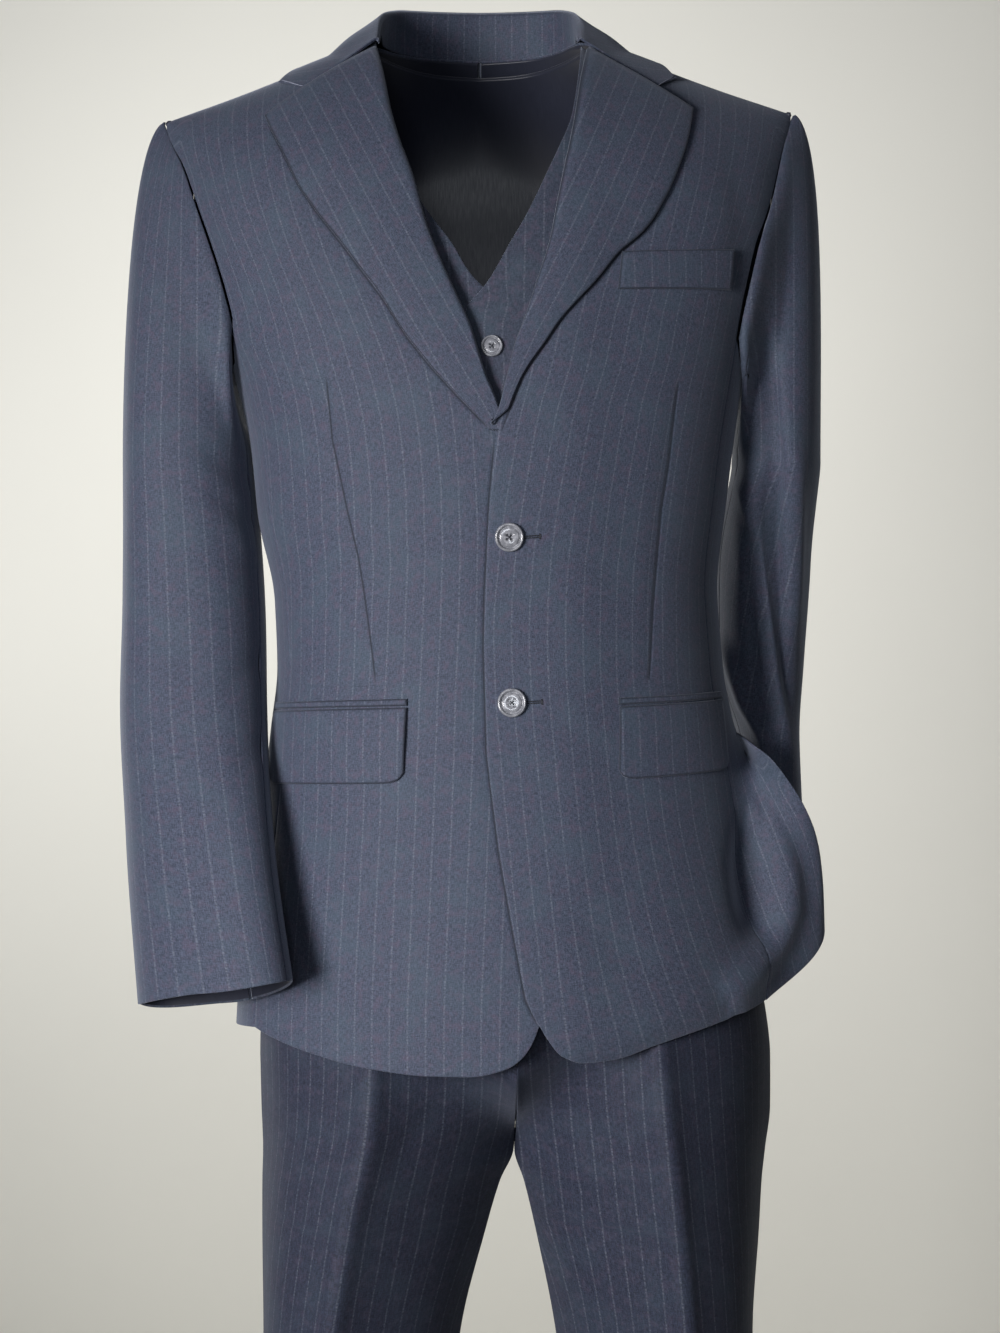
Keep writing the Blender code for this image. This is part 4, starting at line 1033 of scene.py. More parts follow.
def relief(name, points, off_dart_or_shadow, dart_share):
    """How far the creases, darts and painted shadow lines of a piece push its cloth in or out."""
    taper = np.sin(math.pi * np.clip(dart_share, 0.0, 1.0)) ** 0.5
    total = DART_DEPTH * taper * np.exp(-(off_dart_or_shadow / DART_WIDTH) ** 2)
    for fold in CREASES.get(name, ()):
        total += crease(points[..., 0], points[..., 2], fold.path, fold.width, fold.height)
    return total


print("creases:", sum(len(folds) for folds in CREASES.values()))

# %% [markdown]
# ## The jacket's seams
#
# Neighbouring pieces share a seam, so each seam is written down once, as a line of places on the
# form: the armhole, the front and back side seams and the shoulder seam. Reading the edges off the
# solids would tie the cloth to their facets.

# %% Seam lines of the jacket
ARMHOLE_TIP = {RIGHT: -0.0445, LEFT: -0.0380}
ARMHOLE_FOOT = (FRONT_SEAM * 1.03, -0.212)
ARMHOLE_FRONT = {
    RIGHT: ((-0.2165, -0.077), (-0.2045, -0.107), (-0.193, -0.138), (-0.185, -0.161),
            (-0.177, -0.1875)),
    LEFT: ((0.2265, -0.066), (0.218, -0.100), (0.2095, -0.127), (0.202, -0.150),
           (0.196, -0.178)),
}
FRONT_SEAM_END = {RIGHT: -0.714, LEFT: -0.694}
SIDE_HEM_END = {RIGHT: -0.722, LEFT: -0.650}


def armhole_front(side):
    """From the shoulder tip down the front of the armhole to the front seam."""
    tip = (side * math.pi / 2, ARMHOLE_TIP[side])
    places = [seen(x, z) for x, z in ARMHOLE_FRONT[side]]
    angle, foot = ARMHOLE_FOOT
    return Line(tip, *places, (side * angle, foot), crowd=2.0)


def armhole_back(side):
    """From the shoulder tip down the back of the armhole to the back seam."""
    front = armhole_front(side)

    def at(share):
        angle, z = front.at(share)
        wide = side * math.pi - angle
        shift = (side * BACK_SEAM - (side * math.pi - front.at(1)[0])) * share * share
        return Vector((wide + shift, z))

    return Rule(at)


def armhole_under(side):
    """Under the arm, from the front seam to the back seam."""
    front = armhole_front(side).at(1)
    back = armhole_back(side).at(1)
    return Line(front, (side * UNDERARM_FROM, UNDERARM), (side * UNDERARM_TO, UNDERARM), back)


def front_seam(side):
    low = (side * FRONT_SEAM, FRONT_SEAM_END[side])
    return Line(armhole_front(side).at(1), (side * FRONT_SEAM, SEAM_KNEE), low)


def back_seam(side, low):
    return Line(armhole_back(side).at(1), (side * BACK_SEAM, SEAM_KNEE), (side * BACK_SEAM, low))


def neck_point(side, behind=False):
    """Where the shoulder seam meets the neck, as a place on the form."""
    height = shoulder_height(side * NECK_X)
    return Vector((angle_at(side * NECK_X, height, behind), height))


def shoulder_seam(start, end):
    """Along the shoulder from the neck to the tip of the armhole."""
    def at(share):
        angle = mix(start[0], end[0], share)
        if share == 1:
            return end
        return Vector((angle, shoulder_height(form_point(angle, 0.0).x)))

    return Rule(at)

# %% [markdown]
# ## The edges of the fronts
#
# The roll line that the lapel turns over, the lapel's own edge, the notch, the front edge and the
# hem differ from side to side, because the left front laps over the right one. They are given as
# seen square on, where they are easiest to compare with the real ones.

# %% Edges as seen
ROLL_LINE = {
    RIGHT: ((-0.0735, 0.010), (-0.0675, -0.023), (-0.0615, -0.053), (-0.0535, -0.080),
            (-0.0444, -0.106), (-0.036, -0.137), (-0.0234, -0.169), (-0.0132, -0.192),
            (-0.0052, -0.210), (0.003, -0.237), (0.015, -0.265)),
    LEFT: ((0.083, 0.010), (0.077, -0.0285), (0.0723, -0.060), (0.0665, -0.092),
           (0.061, -0.119), (0.0546, -0.152), (0.046, -0.1795), (0.038, -0.2046),
           (0.030, -0.2268), (0.024, -0.2513), (0.019, -0.271), (0.016, -0.293)),
}

LAPEL_EDGE = {
    RIGHT: ((-0.152, -0.0514), (-0.138, -0.080), (-0.125, -0.107), (-0.112, -0.127),
            (-0.095, -0.149), (-0.0825, -0.166), (-0.064, -0.191), (-0.0474, -0.218),
            (-0.031, -0.239), (-0.011, -0.261), (0.013, -0.2855)),
    LEFT: ((0.1577, -0.0455), (0.150, -0.080), (0.1284, -0.129), (0.118, -0.143),
           (0.1015, -0.1576), (0.085, -0.1785), (0.0624, -0.2037), (0.050, -0.222),
           (0.034, -0.245), (0.016, -0.290)),
}


def lapel_shadow(side):
    """Painted shadow in a line just outside the lapel's edge, running upwards, over a groove."""
    away, below = side * 0.0010, 0.0007
    return tuple((x + away, z - below) for x, z in reversed(LAPEL_EDGE[side]))


# Each front gets a line of painted shadow under its lapel's edge.
for side in (RIGHT, LEFT):
    DARTS_AND_SHADOWS["jacket_front_" + SIDE_NAME[side]] += (lapel_shadow(side),)
print("darts and pressed lines:", sum(len(paths) for paths in DARTS_AND_SHADOWS.values()))

GORGE = {
    RIGHT: ((-0.0735, 0.002), (-0.123, -0.032), (-0.152, -0.0514)),
    LEFT: ((0.0825, -0.001), (0.131, -0.031), (0.1577, -0.0455)),
}

COLLAR_TIP = {RIGHT: (-0.144, -0.0237), LEFT: (0.1465, -0.0214)}

FRONT_EDGE = {
    RIGHT: ((0.015, -0.265), (0.034, -0.300), (0.0425, -0.345), (0.0425, -0.480),
            (0.0430, -0.600), (0.0465, -0.680), (0.0465, -0.700)),
    LEFT: ((0.0163, -0.290), (0.0117, -0.3325), (0.0082, -0.400), (0.0075, -0.438),
           (0.0096, -0.513), (0.018, -0.580), (0.0265, -0.629), (0.037, -0.685),
           (0.049, -0.709)),
}

HEM = {
    RIGHT: ((0.0465, -0.700), (0.038, -0.720), (0.022, -0.733), (-0.0045, -0.7385),
            (-0.031, -0.7385), (-0.0745, -0.735), (-0.112, -0.728)),
    LEFT: ((0.049, -0.709), (0.060, -0.723), (0.076, -0.729), (0.097, -0.728),
           (0.130, -0.719), (0.156, -0.712)),
}

# %% [markdown]
# ## The wrist in the vent
#
# The left wrist comes through the side vent. It pushes the back edge of the skirt forward and out,
# and gathers the skirt into a valley and a ridge. The edge is a small table, and the two folds are
# paths seen square on.

# %% The left skirt
VENT_EDGE = Table(
    "row x y z",
    (-0.470, 0.1945, 0.040, -0.470),
    (-0.495, 0.1950, 0.004, -0.490),
    (-0.515, 0.1985, -0.036, -0.502),
    (-0.535, 0.2150, -0.055, -0.516),
    (-0.555, 0.2290, -0.058, -0.534),
    (-0.575, 0.2400, -0.052, -0.553),
    (-0.595, 0.2500, -0.040, -0.580),
    (-0.620, 0.2550, -0.028, -0.614),
    (-0.650, 0.2570, -0.016, -0.643),
)
SkirtFold = namedtuple("SkirtFold", "path width out")
SKIRT_FOLDS = (
    SkirtFold(path=((0.2016, -0.5594), (0.1961, -0.5947), (0.2009, -0.6285), (0.2126, -0.6498)),
              width=0.0125, out=-0.0120),
    SkirtFold(path=((0.2076, -0.5554), (0.2176, -0.5790), (0.2253, -0.6065), (0.2253, -0.6300),
                    (0.2176, -0.6498), (0.2058, -0.6675), (0.1900, -0.6814), (0.1802, -0.6902)),
              width=0.0130, out=0.0120),
)
SKIRT_OUT = Vector((0.50, -0.85, 0.0))


def skirt_push(point):
    """How far those folds push the left skirt in or out at a point."""
    here = Vector((point.x, point.z))
    total = 0.0
    for fold in SKIRT_FOLDS:
        steps = len(fold.path) - 1
        nearest, share = 1.0, 0.0
        for number, (start, end) in enumerate(zip(fold.path, fold.path[1:])):
            start, end = Vector(start), Vector(end)
            way = end - start
            along = min(max((here - start).dot(way) / way.length_squared, 0.0), 1.0)
            off = (here - start - way * along).length
            if off < nearest:
                nearest, share = off, (number + along) / steps
        fade = max(math.sin(math.pi * share), 0.0) ** 0.5
        total += fold.out * fade * math.exp(-(nearest / fold.width) ** 2)
    return SKIRT_OUT * total


def vent_pull(u, edge_row):
    """How far the wrist pushes the left side panel out, growing towards its back edge."""
    onset, growth, fullness = 0.050, 1.6, 0.5
    edge = VENT_EDGE.at(edge_row)
    pull = Vector((edge.x, edge.y, edge.z)) - on_form(BACK_SEAM, edge_row)
    shape = u ** growth * (1 + fullness * (1 - u))
    return pull * shape * ease(VENT_TOP, VENT_TOP - onset, edge_row)


print("skirt folds:", len(SKIRT_FOLDS))

# %% [markdown]
# ## Fronts, sides and back
#
# Each piece is a sheet stretched between its four seams. The left front laps over the right one by
# a few millimetres, and the left side piece follows the wrist.

# %% Jacket body
def front_lift(x):
    """How far the left front stands off the form where it laps over the right one."""
    full, none = 0.060, 0.110
    return LAP_LIFT * (1 - ease(full, none, x))


def front_place(side):
    """The front, from its edge and roll line to the armhole and front seam."""
    neck = neck_point(side)
    edge = Line(*[seen(x, z) for x, z in FRONT_EDGE[side]])
    roll = Line(neck, *[seen(x, z) for x, z in ROLL_LINE[side][:-1]], edge.at(0), crowd=1.6)
    inner = Chain((0.45, roll), (0.55, edge))
    outer = Chain((0.40, armhole_front(side)), (0.60, front_seam(side)))
    low = front_seam(side).at(1)
    bottom = Line(edge.at(1), *[seen(x, z) for x, z in HEM[side][1:]], low)
    return patch(inner, outer, shoulder_seam(neck, armhole_front(side).at(0)), bottom)


def side_place(side):
    low = SIDE_HEM_END[side]
    front = front_seam(side).at(1)
    middle = mix(front, Vector((side * BACK_SEAM, low)), 0.5)
    hem = Line(front, middle, (side * BACK_SEAM, low))
    return patch(front_seam(side), back_seam(side, low), armhole_under(side), hem)


def jacket_front(side):
    plan = front_place(side)

    def place(u, v):
        angle, z = plan(u, v)
        point = on_form(angle, z)
        if side == LEFT:
            point = on_form(angle, z, front_lift(point.x))
            point += skirt_push(point)
        return point

    return sheet("jacket_front_" + SIDE_NAME[side], place, JACKET_WALL, flip=side == RIGHT)


def jacket_side(side):
    plan = side_place(side)

    def place(u, v):
        point = on_form(*plan(u, v))
        edge_row = plan(1.0, v)[1]
        if side == LEFT and edge_row < VENT_TOP:
            point += vent_pull(u, edge_row)
            point += skirt_push(point)
        return point

    return sheet("jacket_side_" + SIDE_NAME[side], place, JACKET_WALL, flip=side == RIGHT)


def jacket_back(side):
    """Half the back, from the seam down the middle to the side seam."""
    neck = neck_point(side, behind=True)
    armhole = armhole_back(side)
    outer = Chain((0.40, armhole), (0.60, back_seam(side, JACKET_HEM_BACK)))
    middle = side * math.pi
    inner = Line((middle, NECK_BACK), (middle, SEAM_KNEE), (middle, JACKET_HEM_BACK), crowd=1.3)
    shoulder = shoulder_seam(neck, armhole.at(0))
    neck_share = 0.30

    def along_top(share):
        if share < neck_share:
            part = share / neck_share
            return Vector((mix(middle, neck[0], part), mix(NECK_BACK, neck[1], part * part)))
        return shoulder.at((share - neck_share) / (1 - neck_share))

    hem = Line((middle, JACKET_HEM_BACK), (side * BACK_SEAM, JACKET_HEM_BACK))
    plan = patch(inner, outer, Rule(along_top), hem)

    def place(u, v):
        return on_form(*plan(u, v))

    return sheet("jacket_back_" + SIDE_NAME[side], place, JACKET_WALL, flip=side == LEFT)

# %% [markdown]
# ## Collar and lapels
#
# The lapel is the front's own cloth turned back at the roll line. It could be bent out of a flat
# strip, but placing its edges first keeps the notch where a tailor cuts it.

# %% Lapels
def lapel_place(side):
    """The lapel, from just past its roll line to its outer edge, lying on the front."""
    past_roll = 0.0025
    roll = [seen(x - side * past_roll, z) for x, z in ROLL_LINE[side][1:-1]]
    edge = Line(*[seen(x, z) for x, z in LAPEL_EDGE[side]])
    start = seen(GORGE[side][0][0] - side * past_roll, GORGE[side][0][1])
    foot = edge.at(1)
    roll = Line(start, *roll, (foot[0] - side * math.radians(2), foot[1]))
    top = Line(start, *[seen(x, z) for x, z in GORGE[side][1:]])
    bottom = Line(roll.at(1), foot)
    return patch(roll, edge, top, bottom)


def jacket_lapel(side):
    """A lapel whose middle stands off the front in a soft roll."""
    plan = lapel_place(side)
    roll_height = 0.0025

    def place(u, v):
        share = LAPEL_SHARE if side == LEFT else 1.0
        angle, z = plan(u, v * share)
        lift = LAPEL_LIFT + roll_height * math.sin(math.pi * u) * (1 - v)
        if side == RIGHT:
            lift = mix(lift, JACKET_WALL + GAP, ease(0.88, 1.0, v))
        if side == LEFT:
            lift += front_lift(form_point(angle, z).x)
        return on_form(angle, z, lift)

    return sheet("jacket_lapel_" + SIDE_NAME[side], place, JACKET_WALL, flip=side == RIGHT)


# %% [markdown]
# ## Collar
#
# The collar stands up round the neck, folds over and meets the lapels at the notches. Its stand,
# its fold and the edge of its leaf are three lines round the neck, and the cloth is stretched
# between them. A bend modifier would turn it over too, but not down to the notch on each side.

# %% Collar
def clear_of_form(point, lift):
    """The point, or where it is pushed out to so that it stands off the form's shoulder."""
    ring = TORSO.at(point.z)
    share = min(abs(point.x - ring.middle) / ring.half, 1.0)
    chord = (1 - share ** ring.power) ** (1 / ring.power)
    depth = (ring.front if point.y < 0 else ring.back) * chord + lift
    height = SHOULDER_ROUND + lift
    centre = shoulder_height(point.x) - SHOULDER_ROUND
    if point.z <= centre:
        return point
    reach = math.hypot(point.y / depth, (point.z - centre) / height)
    if reach >= 1:
        return point
    return Vector((point.x, point.y / reach, centre + (point.z - centre) / reach))


STAND = ((0.0745, -0.0400, 0.0065), (0.0745, -0.0050, 0.0205), (0.0745, 0.0200, 0.0200),
         (0.0560, 0.0580, 0.0200))
STAND_BACK = (BODY_MIDDLE, 0.0800, 0.0200)
FOLD = ((0.0750, -0.0430, 0.0085), (0.0745, -0.0080, 0.0290), (0.0720, 0.0200, 0.0420),
        (0.0560, 0.0540, 0.0530))
FOLD_BACK = (BODY_MIDDLE, 0.0740, 0.0560)
LEAF_FRONT = (0.141, -0.0165)
LEAF_RIDGE = 0.132
LEAF_BEHIND = ((0.118, -0.009), (0.095, -0.011), (0.062, -0.010))
LEAF_BACK = -0.006


def both_sides(rows, middle):
    """A line from the right end of the collar to the left one."""
    ends = {}
    for side in (RIGHT, LEFT):
        ends[side] = [(side * row[0] + BODY_MIDDLE, *row[1:]) for row in rows]
    return Line(*ends[RIGHT], middle, *reversed(ends[LEFT]))


def leaf_points(side):
    """The edge of the leaf, from its tip over the shoulder and round towards the back."""
    points = [on_form(*seen(*COLLAR_TIP[side]), LEAF_LIFT)]
    points.append(on_form(*seen(side * LEAF_FRONT[0] + BODY_MIDDLE, LEAF_FRONT[1]), LEAF_LIFT))
    ridge = side * LEAF_RIDGE + BODY_MIDDLE
    points.append(Vector((ridge, 0.0, shoulder_height(ridge) + LEAF_LIFT)))
    for x, z in LEAF_BEHIND:
        points.append(on_form(*seen(side * x + BODY_MIDDLE, z, behind=True), LEAF_LIFT))
    return points


def leaf_end(side, fold):
    """The end of the leaf: down beside the lapel's top edge to the notch, then out to the tip."""
    beside = 0.0016
    start, notch = GORGE[side][:2]
    along = []
    for share in (0.45, 1.0):
        x, z = mix(start[0], notch[0], share), mix(start[1], notch[1], share)
        along.append(on_form(*seen(x + side * 0.57 * beside, z + 0.82 * beside), LEAF_LIFT))
    tip = on_form(*seen(*COLLAR_TIP[side]), LEAF_LIFT)
    return Chain((0.6, Line(fold, *along)), (0.4, Line(along[-1], tip)))


def collar_place():
    """The collar: up its stand from the neck seam, over the fold and down the leaf."""
    roll_height = 0.006
    notch_reach = 0.14
    stand = both_sides(STAND, STAND_BACK)
    fold = both_sides(FOLD, FOLD_BACK)
    leaf_back = on_form(math.pi, LEAF_BACK, LEAF_LIFT)
    leaf = Line(*leaf_points(RIGHT), leaf_back, *reversed(leaf_points(LEFT)))
    ends = {RIGHT: leaf_end(RIGHT, fold.at(0)), LEFT: leaf_end(LEFT, fold.at(1))}

    def place(u, v):
        if v < STAND_SHARE:
            return mix(stand.at(u), fold.at(u), v / STAND_SHARE)
        down = (v - STAND_SHARE) / (1 - STAND_SHARE)
        point = mix(fold.at(u), leaf.at(u), down)
        side, edge = (RIGHT, 0.0) if u < 0.5 else (LEFT, 1.0)
        end = ease(notch_reach, 0.0, abs(u - edge))
        point += (ends[side].at(down) - mix(fold.at(edge), leaf.at(edge), down)) * end
        away = Vector((point.x - BODY_MIDDLE, point.y, 0.0)).normalized()
        roll = roll_height * math.sin(math.pi * min(down * 1.6, 1.0))
        return clear_of_form(point + away * roll * (1 - end), LEAF_LIFT)

    return place


def jacket_collar():
    return sheet("jacket_collar", collar_place(), JACKET_WALL, flip=True)

# %% [markdown]
# ## Pockets
#
# A welt is a straight band, a jet a narrow lip, and a flap hangs from under the jet with rounded
# lower corners. All of them lie on the front, a little out from it.

# %% Pockets
def lying_panel(name, corners, wall, lifted, round_low=0.0):
    """A small panel lying on a front, between corners given as seen: two on top, two below."""
    top = Line(seen(*corners[0]), seen(*corners[1]))
    bottom = Line(seen(*corners[2]), seen(*corners[3]))

    def place(u, v):
        corner = max(abs(2 * u - 1) - (1 - 2 * round_low), 0.0) / max(2 * round_low, 1e-6)
        cut = 1.3 * round_low * (1 - math.sqrt(1 - min(corner, 1.0) ** 2))
        share = v * (1 - cut)
        angle, z = mix(top.at(u), bottom.at(u), share)
        out = POCKET_LIFT
        if lifted:
            out += front_lift(form_point(angle, z).x)
        return on_form(angle, z, out)

    return sheet(name, place, wall)


WELT = ((0.1035, -0.1570), (0.1850, -0.1493), (0.1005, -0.1844), (0.1825, -0.1785))

FLAP = {
    RIGHT: ((-0.1440, -0.4842), (-0.0467, -0.4802), (-0.1480, -0.5372), (-0.0490, -0.5335)),
    LEFT: ((0.1009, -0.4796), (0.1770, -0.4755), (0.1000, -0.5310), (0.1815, -0.5262)),
}

JET = {
    RIGHT: ((-0.1440, -0.4780), (-0.0467, -0.4740), (-0.1440, -0.4828), (-0.0467, -0.4790)),
    LEFT: ((0.1005, -0.4735), (0.1770, -0.4695), (0.1005, -0.4784), (0.1770, -0.4743)),
}


FLAP_ROUNDING = 0.11


def jacket_pockets():
    """The chest welt, then a jet and a flap on each side; the left ones follow the lap."""
    lying_panel("jacket_chest_welt", WELT, WELT_WALL, lifted=False)
    for side in (RIGHT, LEFT):
        name, lifted = SIDE_NAME[side], side == LEFT
        lying_panel("jacket_jet_" + name, JET[side], JET_WALL, lifted)
        lying_panel("jacket_flap_" + name, FLAP[side], FLAP_WALL, lifted, FLAP_ROUNDING)

# %% [markdown]
# ## Sleeves
#
# A tailored sleeve is two pieces, a wide top sleeve and a narrow under sleeve. It leaves the
# armhole outwards, rounds the shoulder and drops. The right one hangs, and the left one is bent
# back and pulls into long soft folds that run down the front to the vent. Both sleeves are read
# from a table of ovals, one for each height, as an arm is measured.

# %% Sleeves
SLEEVE = {
    RIGHT: Table(
        "z x wide y deep turn",
        (-0.300, -0.2163, 0.0463, 0.010, 0.0660, 0.00),
        (-0.340, -0.2142, 0.0484, 0.010, 0.0630, 0.00),
        (-0.400, -0.2120, 0.0510, 0.006, 0.0590, 0.05),
        (-0.475, -0.2102, 0.0532, -0.014, 0.0540, 0.20),
        (-0.577, -0.2009, 0.0549, -0.058, 0.0470, 0.55),
        (-0.700, -0.1823, 0.0583, -0.108, 0.0400, 0.60),
    ),
    LEFT: Table(
        "z x wide y deep turn",
        (-0.300, 0.2296, 0.0310, 0.048, 0.0720, 0.00),
        (-0.370, 0.2225, 0.0345, 0.076, 0.0620, 0.00),
        (-0.450, 0.2212, 0.0313, 0.084, 0.0540, 0.00),
        (-0.510, 0.2255, 0.0211, 0.060, 0.0480, 0.00),
        (-0.580, 0.2268, 0.0194, 0.027, 0.0440, 0.00),
        (-0.650, 0.2295, 0.0195, 0.010, 0.0400, 0.00),
    ),
}

Fold = namedtuple("Fold", "top low start end width out")
SLEEVE_FOLDS = (
    Fold(top=-0.240, low=-0.530, start=0.430, end=0.180, width=0.045, out=0.0030),
    Fold(top=-0.200, low=-0.540, start=0.345, end=0.195, width=0.040, out=-0.0045),
    Fold(top=-0.260, low=-0.450, start=0.240, end=0.150, width=0.040, out=0.0025),
)
SLEEVE_FRONT_SEAM = 0.45
SLEEVE_BACK_SEAM = 0.70


def armhole(side, u):
    """The armhole seam, from the shoulder tip down the front, under the arm and up the back."""
    front_end, back_start = 0.4, 0.6
    if u <= front_end:
        place = armhole_front(side).at(u / front_end)
    elif u <= back_start:
        place = armhole_under(side).at((u - front_end) / (back_start - front_end))
    else:
        place = armhole_back(side).at((1 - u) / (1 - back_start))
    return form_point(*place)


def sleeve_end(side, u):
    """The height of the sleeve's hem, which slants up to the inside and drops at the back."""
    turn = 2 * math.pi * u
    if side == LEFT:
        return -0.650 - 0.004 * math.cos(turn)
    back = 0.008 * max(-math.sin(turn), 0.0)
    return -0.683 - 0.012 * math.cos(turn) + 0.004 * math.sin(turn) - back


def fold_height(u, z):
    """How far the folds of the bent sleeve push its wall in or out."""
    total = 0.0
    for fold in SLEEVE_FOLDS:
        share = (fold.top - z) / (fold.top - fold.low)
        if 0 < share < 1:
            off = (u - mix(fold.start, fold.end, share)) / fold.width
            total += fold.out * math.exp(-off * off) * math.sin(math.pi * share) ** 0.6
    return total


def sleeve_ring(side, u, z):
    row = SLEEVE[side].at(z)
    turn = 2 * math.pi * u
    power = 0.92 if side == LEFT else 0.82
    across = signed_power(math.cos(turn), power)
    forward = signed_power(math.sin(turn), power)
    x = row.x + side * row.wide * across
    y = row.y - row.deep * forward + row.turn * row.wide * across
    return Vector((x, y, z))


def sleeve_stripes(side, points):
    """Flat places on a sleeve: its stripes run straight up, right over the cap."""
    lowest, widest = -0.75, math.pi * 0.6
    around = np.linspace(0.0, 1.0, 121)
    ring = np.array([sleeve_ring(side, u, SLEEVE_RING_TOP) for u in around])
    row = SLEEVE[side].at(SLEEVE_RING_TOP)
    turns = np.unwrap(np.arctan2(-(ring[:, 1] - row.y) / row.deep,
                                 side * (ring[:, 0] - row.x) / row.wide))
    run = np.concatenate([[0.0], np.cumsum(np.linalg.norm(np.diff(ring, axis=0), axis=1))])
    heights = np.linspace(lowest, SLEEVE_RING_TOP, 60)
    rows = [SLEEVE[side].at(height) for height in heights]
    z = np.clip(points[..., 2], heights[0], SLEEVE_RING_TOP)
    middle_x, middle_y, wide, deep, tilt = (
        np.interp(z, heights, [getattr(here, part) for here in rows])
        for part in ("x", "y", "wide", "deep", "turn"))
    across = side * (points[..., 0] - middle_x) / wide
    forward = -(points[..., 1] - middle_y - tilt * wide * across) / deep
    turn = np.arctan2(forward, across)
    turn = np.where(turn < turns[0] - widest, turn + 2 * math.pi, turn)
    reach = np.interp(np.mod(turn, 2 * math.pi), turns, run)
    split = SLEEVE_BACK_SEAM * run[-1]
    reach = np.where(reach > split, reach - run[-1], reach)
    return np.stack([reach * (wide + deep) / (row.wide + row.deep), points[..., 2]], axis=2)


def sleeve_cap(side, u, t):
    """From the armhole seam, out over the upper arm and down to the top ring of the sleeve."""
    turn = 2 * math.pi * u
    crown = (1 + math.cos(turn)) / 2
    clear_above, clear_below = 0.0036, 0.0054
    start = armhole(side, u)
    start.x += side * (clear_above * crown ** 6 + clear_below * (1 - crown) ** 2)
    end = sleeve_ring(side, u, SLEEVE_RING_TOP)
    out = Vector((side * 0.072 * crown, -0.040 * math.sin(turn), -0.05 - 0.03 * (1 - crown)))
    into = Vector((0.0, 0.0, end.z - start.z))
    return hermite(start, out, end, into, t)


def sleeve_point(side, u, v):
    """The sleeve from the armhole seam to its hem."""
    if v < CAP_SHARE:
        point = sleeve_cap(side, u, v / CAP_SHARE)
    else:
        share = (v - CAP_SHARE) / (1 - CAP_SHARE)
        point = sleeve_ring(side, u, mix(SLEEVE_RING_TOP, sleeve_end(side, u), share))
    if side == LEFT:
        turn = 2 * math.pi * u
        point += Vector((math.cos(turn), -math.sin(turn), 0.0)) * fold_height(u, point.z)
    return point


def jacket_sleeve(side):
    """Top sleeve and under sleeve, parted by a seam under the front and one at the back."""
    def top(u, v):
        around = mix(SLEEVE_BACK_SEAM - 1, SLEEVE_FRONT_SEAM, u)
        return sleeve_point(side, around % 1.0, v)

    def under(u, v):
        return sleeve_point(side, mix(SLEEVE_FRONT_SEAM, SLEEVE_BACK_SEAM, u), v)

    name = SIDE_NAME[side]
    sheet("jacket_top_sleeve_" + name, top, JACKET_WALL, flip=side == LEFT)
    sheet("jacket_under_sleeve_" + name, under, JACKET_WALL, flip=side == LEFT)

# %% [markdown]
# ## Waistcoat
#
# It lies on the same form, further in, with a V neck and its left front on top. A second body form
# would serve as well, but then its side seams could drift away from the jacket's.

# %% Waistcoat
WAISTCOAT_IN = Table(
    "z inside",
    (0.050, 0.0044),
    (0.000, 0.0036),
    (-0.060, 0.0050),
    (-0.150, 0.0080),
    (-0.420, 0.0080),
    (-0.520, 0.0142),
    (-0.555, 0.0142),
    (-0.605, 0.0110),
)
WAISTCOAT_SIDE = math.radians(92)
WAISTCOAT_UNDERARM = -0.250
WAISTCOAT_LAP = WAISTCOAT_WALL + 0.0014
WAISTCOAT_HEM = -0.550
WAISTCOAT_NECK_X = 0.078

VEST_V = {
    RIGHT: ((-0.0700, -0.020), (-0.0560, -0.075), (-0.0427, -0.110), (-0.0135, -0.1527),
            (-0.0075, -0.1640)),
    LEFT: ((0.0760, -0.020), (0.0700, -0.055), (0.0553, -0.089), (0.0406, -0.121),
           (0.0242, -0.151), (0.006, -0.1825), (-0.0075, -0.2050)),
}


def on_waistcoat(angle, z, out=0.0):
    return on_form(angle, z, out - WAISTCOAT_IN.at(z).inside - WAISTCOAT_WALL)


def waistcoat_lift(x):
    full, none = 0.048, 0.088
    return WAISTCOAT_LAP * (1 - ease(full, none, x))


def waistcoat_armhole(side):
    top_x = side * 0.150 + BODY_MIDDLE
    top = (angle_at(top_x, 0.0), shoulder_height(top_x))
    return Line(top, (side * math.radians(42), -0.080), (side * math.radians(46), -0.150),
                (side * math.radians(62), -0.215), (side * WAISTCOAT_SIDE, WAISTCOAT_UNDERARM),
                crowd=1.6)


def waistcoat_front(side):
    neck_x = side * WAISTCOAT_NECK_X + BODY_MIDDLE
    neck = Vector((angle_at(neck_x, 0.0), shoulder_height(neck_x)))
    foot = seen(0.034 if side == RIGHT else -0.0045, -0.560)
    start = seen(0.034, -0.215) if side == RIGHT else seen(-0.0045, -0.225)
    neckline = Line(neck, *[seen(x, z) for x, z in VEST_V[side]], start, crowd=1.4)
    inner = Chain((0.5, neckline), (0.5, Line(start, foot)))
    low = side * WAISTCOAT_SIDE
    outer = Chain((0.5, waistcoat_armhole(side)),
                  (0.5, Line((low, WAISTCOAT_UNDERARM), (low, WAISTCOAT_HEM))))
    tip = waistcoat_armhole(side).at(0)

    def along_shoulder(share):
        angle = mix(neck[0], tip[0], share)
        return Vector((angle, shoulder_height(form_point(angle, 0.0).x)))

    top = Rule(along_shoulder)
    point = seen(side * 0.055 + BODY_MIDDLE, -0.605)
    bottom = Line(foot, point, (side * math.radians(55), -0.565), (low, WAISTCOAT_HEM))
    plan = patch(inner, outer, top, bottom)

    def place(u, v):
        angle, z = plan(u, v)
        if side == RIGHT:
            return on_waistcoat(angle, z)
        return on_waistcoat(angle, z, waistcoat_lift(form_point(angle, z).x))

    return sheet("waistcoat_front_" + SIDE_NAME[side], place, WAISTCOAT_WALL, flip=side == RIGHT)


